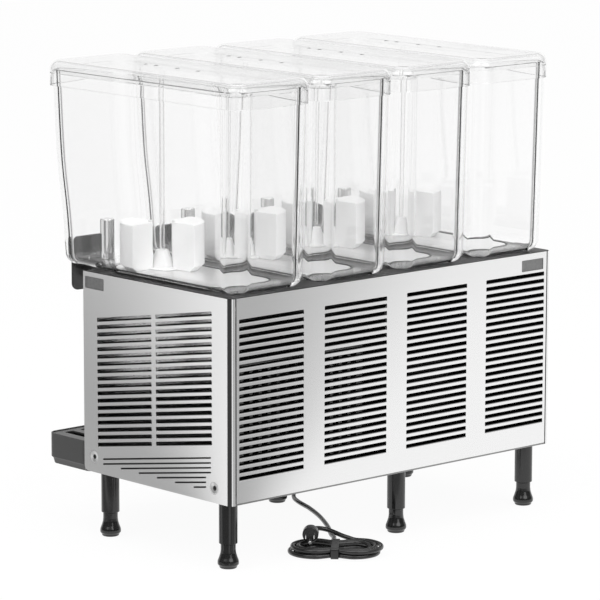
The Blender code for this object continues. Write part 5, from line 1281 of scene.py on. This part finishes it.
nodeFinishes = {
    "front_panel": panelSteel, "control_fascia": panelSteel, "base_pan": galvanised, "top_deck": deckBlack,
    "tray_bracket": galvanised, "compressor": motorPaint, "condenser": condenserMetal, "fan": motorPaint,
    "fan_motor": galvanised, "cord_gland": rubber, "power_switch": black,
}
for name, material in nodeFinishes.items():
    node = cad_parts[name]
    if not node.material_slots:
        node.data.materials.append(material)
    for materialSlot in node.material_slots:
        materialSlot.material = material
print("frame pieces finished")


# Floor, world and lights

studioLook = {
    "ambient": 0.92, "floorShade": 0.85, "floorGlow": 0.94, "floorSize": 14.0,
    "corner": (-0.340, -0.220, 0.0), "backWay": (-0.67, -0.72, -0.17), "backEdge": (0.20, 0.62),
    "roofEdge": (0.30, 0.75), "darkRoom": 0.14, "screenEdge": (0.50, 0.90), "screenDark": 0.22,
    "aim": (0.0, 0.05, 0.35),
    "screenBearings": ((0.0, 0.30), (0.040, 0.34), (0.075, 1.0), (0.185, 1.0), (0.215, 0.34),
                       (0.290, 0.25), (0.325, 1.0), (0.420, 1.0), (0.455, 0.22), (0.540, 0.22),
                       (0.575, 1.0), (0.770, 1.0), (0.810, 0.35), (0.870, 0.35), (0.900, 1.0),
                       (0.940, 1.0), (0.970, 0.30)),
    "bearings": ((0.264, 1.0), (0.306, 0.38), (0.345, 0.34), (0.355, 0.66), (0.363, 1.0), (0.392, 1.0),
                 (0.408, 0.22), (0.640, 0.22), (0.675, 0.90), (0.715, 0.90), (0.745, 0.20),
                 (0.800, 0.50), (0.845, 0.45), (0.869, 0.36), (0.880, 0.64), (0.891, 1.0)),
    "lamps": (("keyLamp", (2.8, 0.4, 3.0), 3.2, 44.0), ("rearLamp", (0.4, 3.0, 2.4), 3.0, 44.0),
              ("topLamp", (0.2, 0.4, 3.2), 3.0, 20.0)),
}


def seenRays(board):
    # 1 for what the camera sees, 1 for what clear walls show, and 1 for these and what gloss shows
    rays = board.add("ShaderNodeLightPath", output=None)
    plain, shine, through = (Wire(board, rays.outputs["Is %s Ray" % kind])
                             for kind in ("Camera", "Glossy", "Transmission"))
    return plain, through, plain.larger(shine).larger(through)


def studioWorld(look):
    # white behind the object and overhead, and a darker room round the camera that only gloss shows
    world = bpy.data.worlds.new("studio")
    bpy.context.scene.world = world
    world.use_nodes = True
    board = Board(world.node_tree)
    plain, through, seen = seenRays(board)
    heading = board.add("ShaderNodeTexCoord")

    def brighter(way, edge, dark):
        along = board.add("ShaderNodeVectorMath", {0: heading, 1: way}, 1, operation="DOT_PRODUCT")
        return smoothRise(board, along, look[edge], look[dark], 1.0)

    ahead = tuple(-part for part in look["backWay"])
    back = brighter(look["backWay"], "backEdge", "darkRoom")
    roof = brighter((0.0, 0.0, 1.0), "roofEdge", "darkRoom")
    screen = brighter(look["backWay"], "screenEdge", "screenDark")
    screen = screen.larger(brighter(ahead, "screenEdge", "screenDark"))
    room = board.tint(through, back, screen).larger(roof)
    soft = board.add("ShaderNodeBackground", {"Color": grey(1.0), "Strength": look["ambient"]})
    paper = board.add("ShaderNodeBackground", {"Color": room.larger(plain), "Strength": 1.0})
    surface = board.add("ShaderNodeMixShader", {0: seen, 1: soft, 2: paper})
    board.add("ShaderNodeOutputWorld", {"Surface": surface}, None)


def studioFloor(look):
    board, place = startMaterial("floorPaper")
    plain, through, seen = seenRays(board)
    around = board.add("ShaderNodeVectorMath", {0: place, 1: look["corner"]}, operation="ADD")
    bearing = board.add("ShaderNodeTexGradient", {"Vector": around}, 1, gradient_type="RADIAL")
    shown, screen = (board.add("ShaderNodeValToRGB", {0: bearing}, stops=look[key])
                     for key in ("bearings", "screenBearings"))
    room = board.tint(through, shown, screen)
    paper = board.add("ShaderNodeBsdfDiffuse", {"Color": grey(look["floorShade"])})
    glow = board.add("ShaderNodeEmission", {"Color": room.larger(plain), "Strength": 1.0})
    surface = board.add("ShaderNodeMixShader", {0: seen * look["floorGlow"], 1: paper, 2: glow})
    board.add("ShaderNodeOutputMaterial", {"Surface": surface}, None)
    half = look["floorSize"] / 2
    mesh = bpy.data.meshes.new("floor")
    corners = raised([(-half, -half), (half, -half), (half, half), (-half, half)], 0.0)
    mesh.from_pydata(corners, [], [(0, 1, 2, 3)])
    mesh.materials.append(board.material)
    workObject(mesh, "floor")


def studioLamps(look):
    for name, spot, size, power in look["lamps"]:
        data = bpy.data.lights.new(name, "AREA")
        data.shape, data.size, data.energy = "DISK", size, power
        lamp = workObject(data, name)
        lamp.location = spot
        lamp.rotation_euler = (Vector(look["aim"]) - Vector(spot)).to_track_quat("-Z", "Y").to_euler()


studioWorld(studioLook)
studioFloor(studioLook)
studioLamps(studioLook)
bpy.context.scene.view_settings.view_transform = "Standard"
bounces = {"max_bounces": 40, "transmission_bounces": 40, "glossy_bounces": 12, "transparent_max_bounces": 64}
for key, count in bounces.items():
    setattr(bpy.context.scene.cycles, key, count)
print("studio set")

bpy.context.view_layer.update()
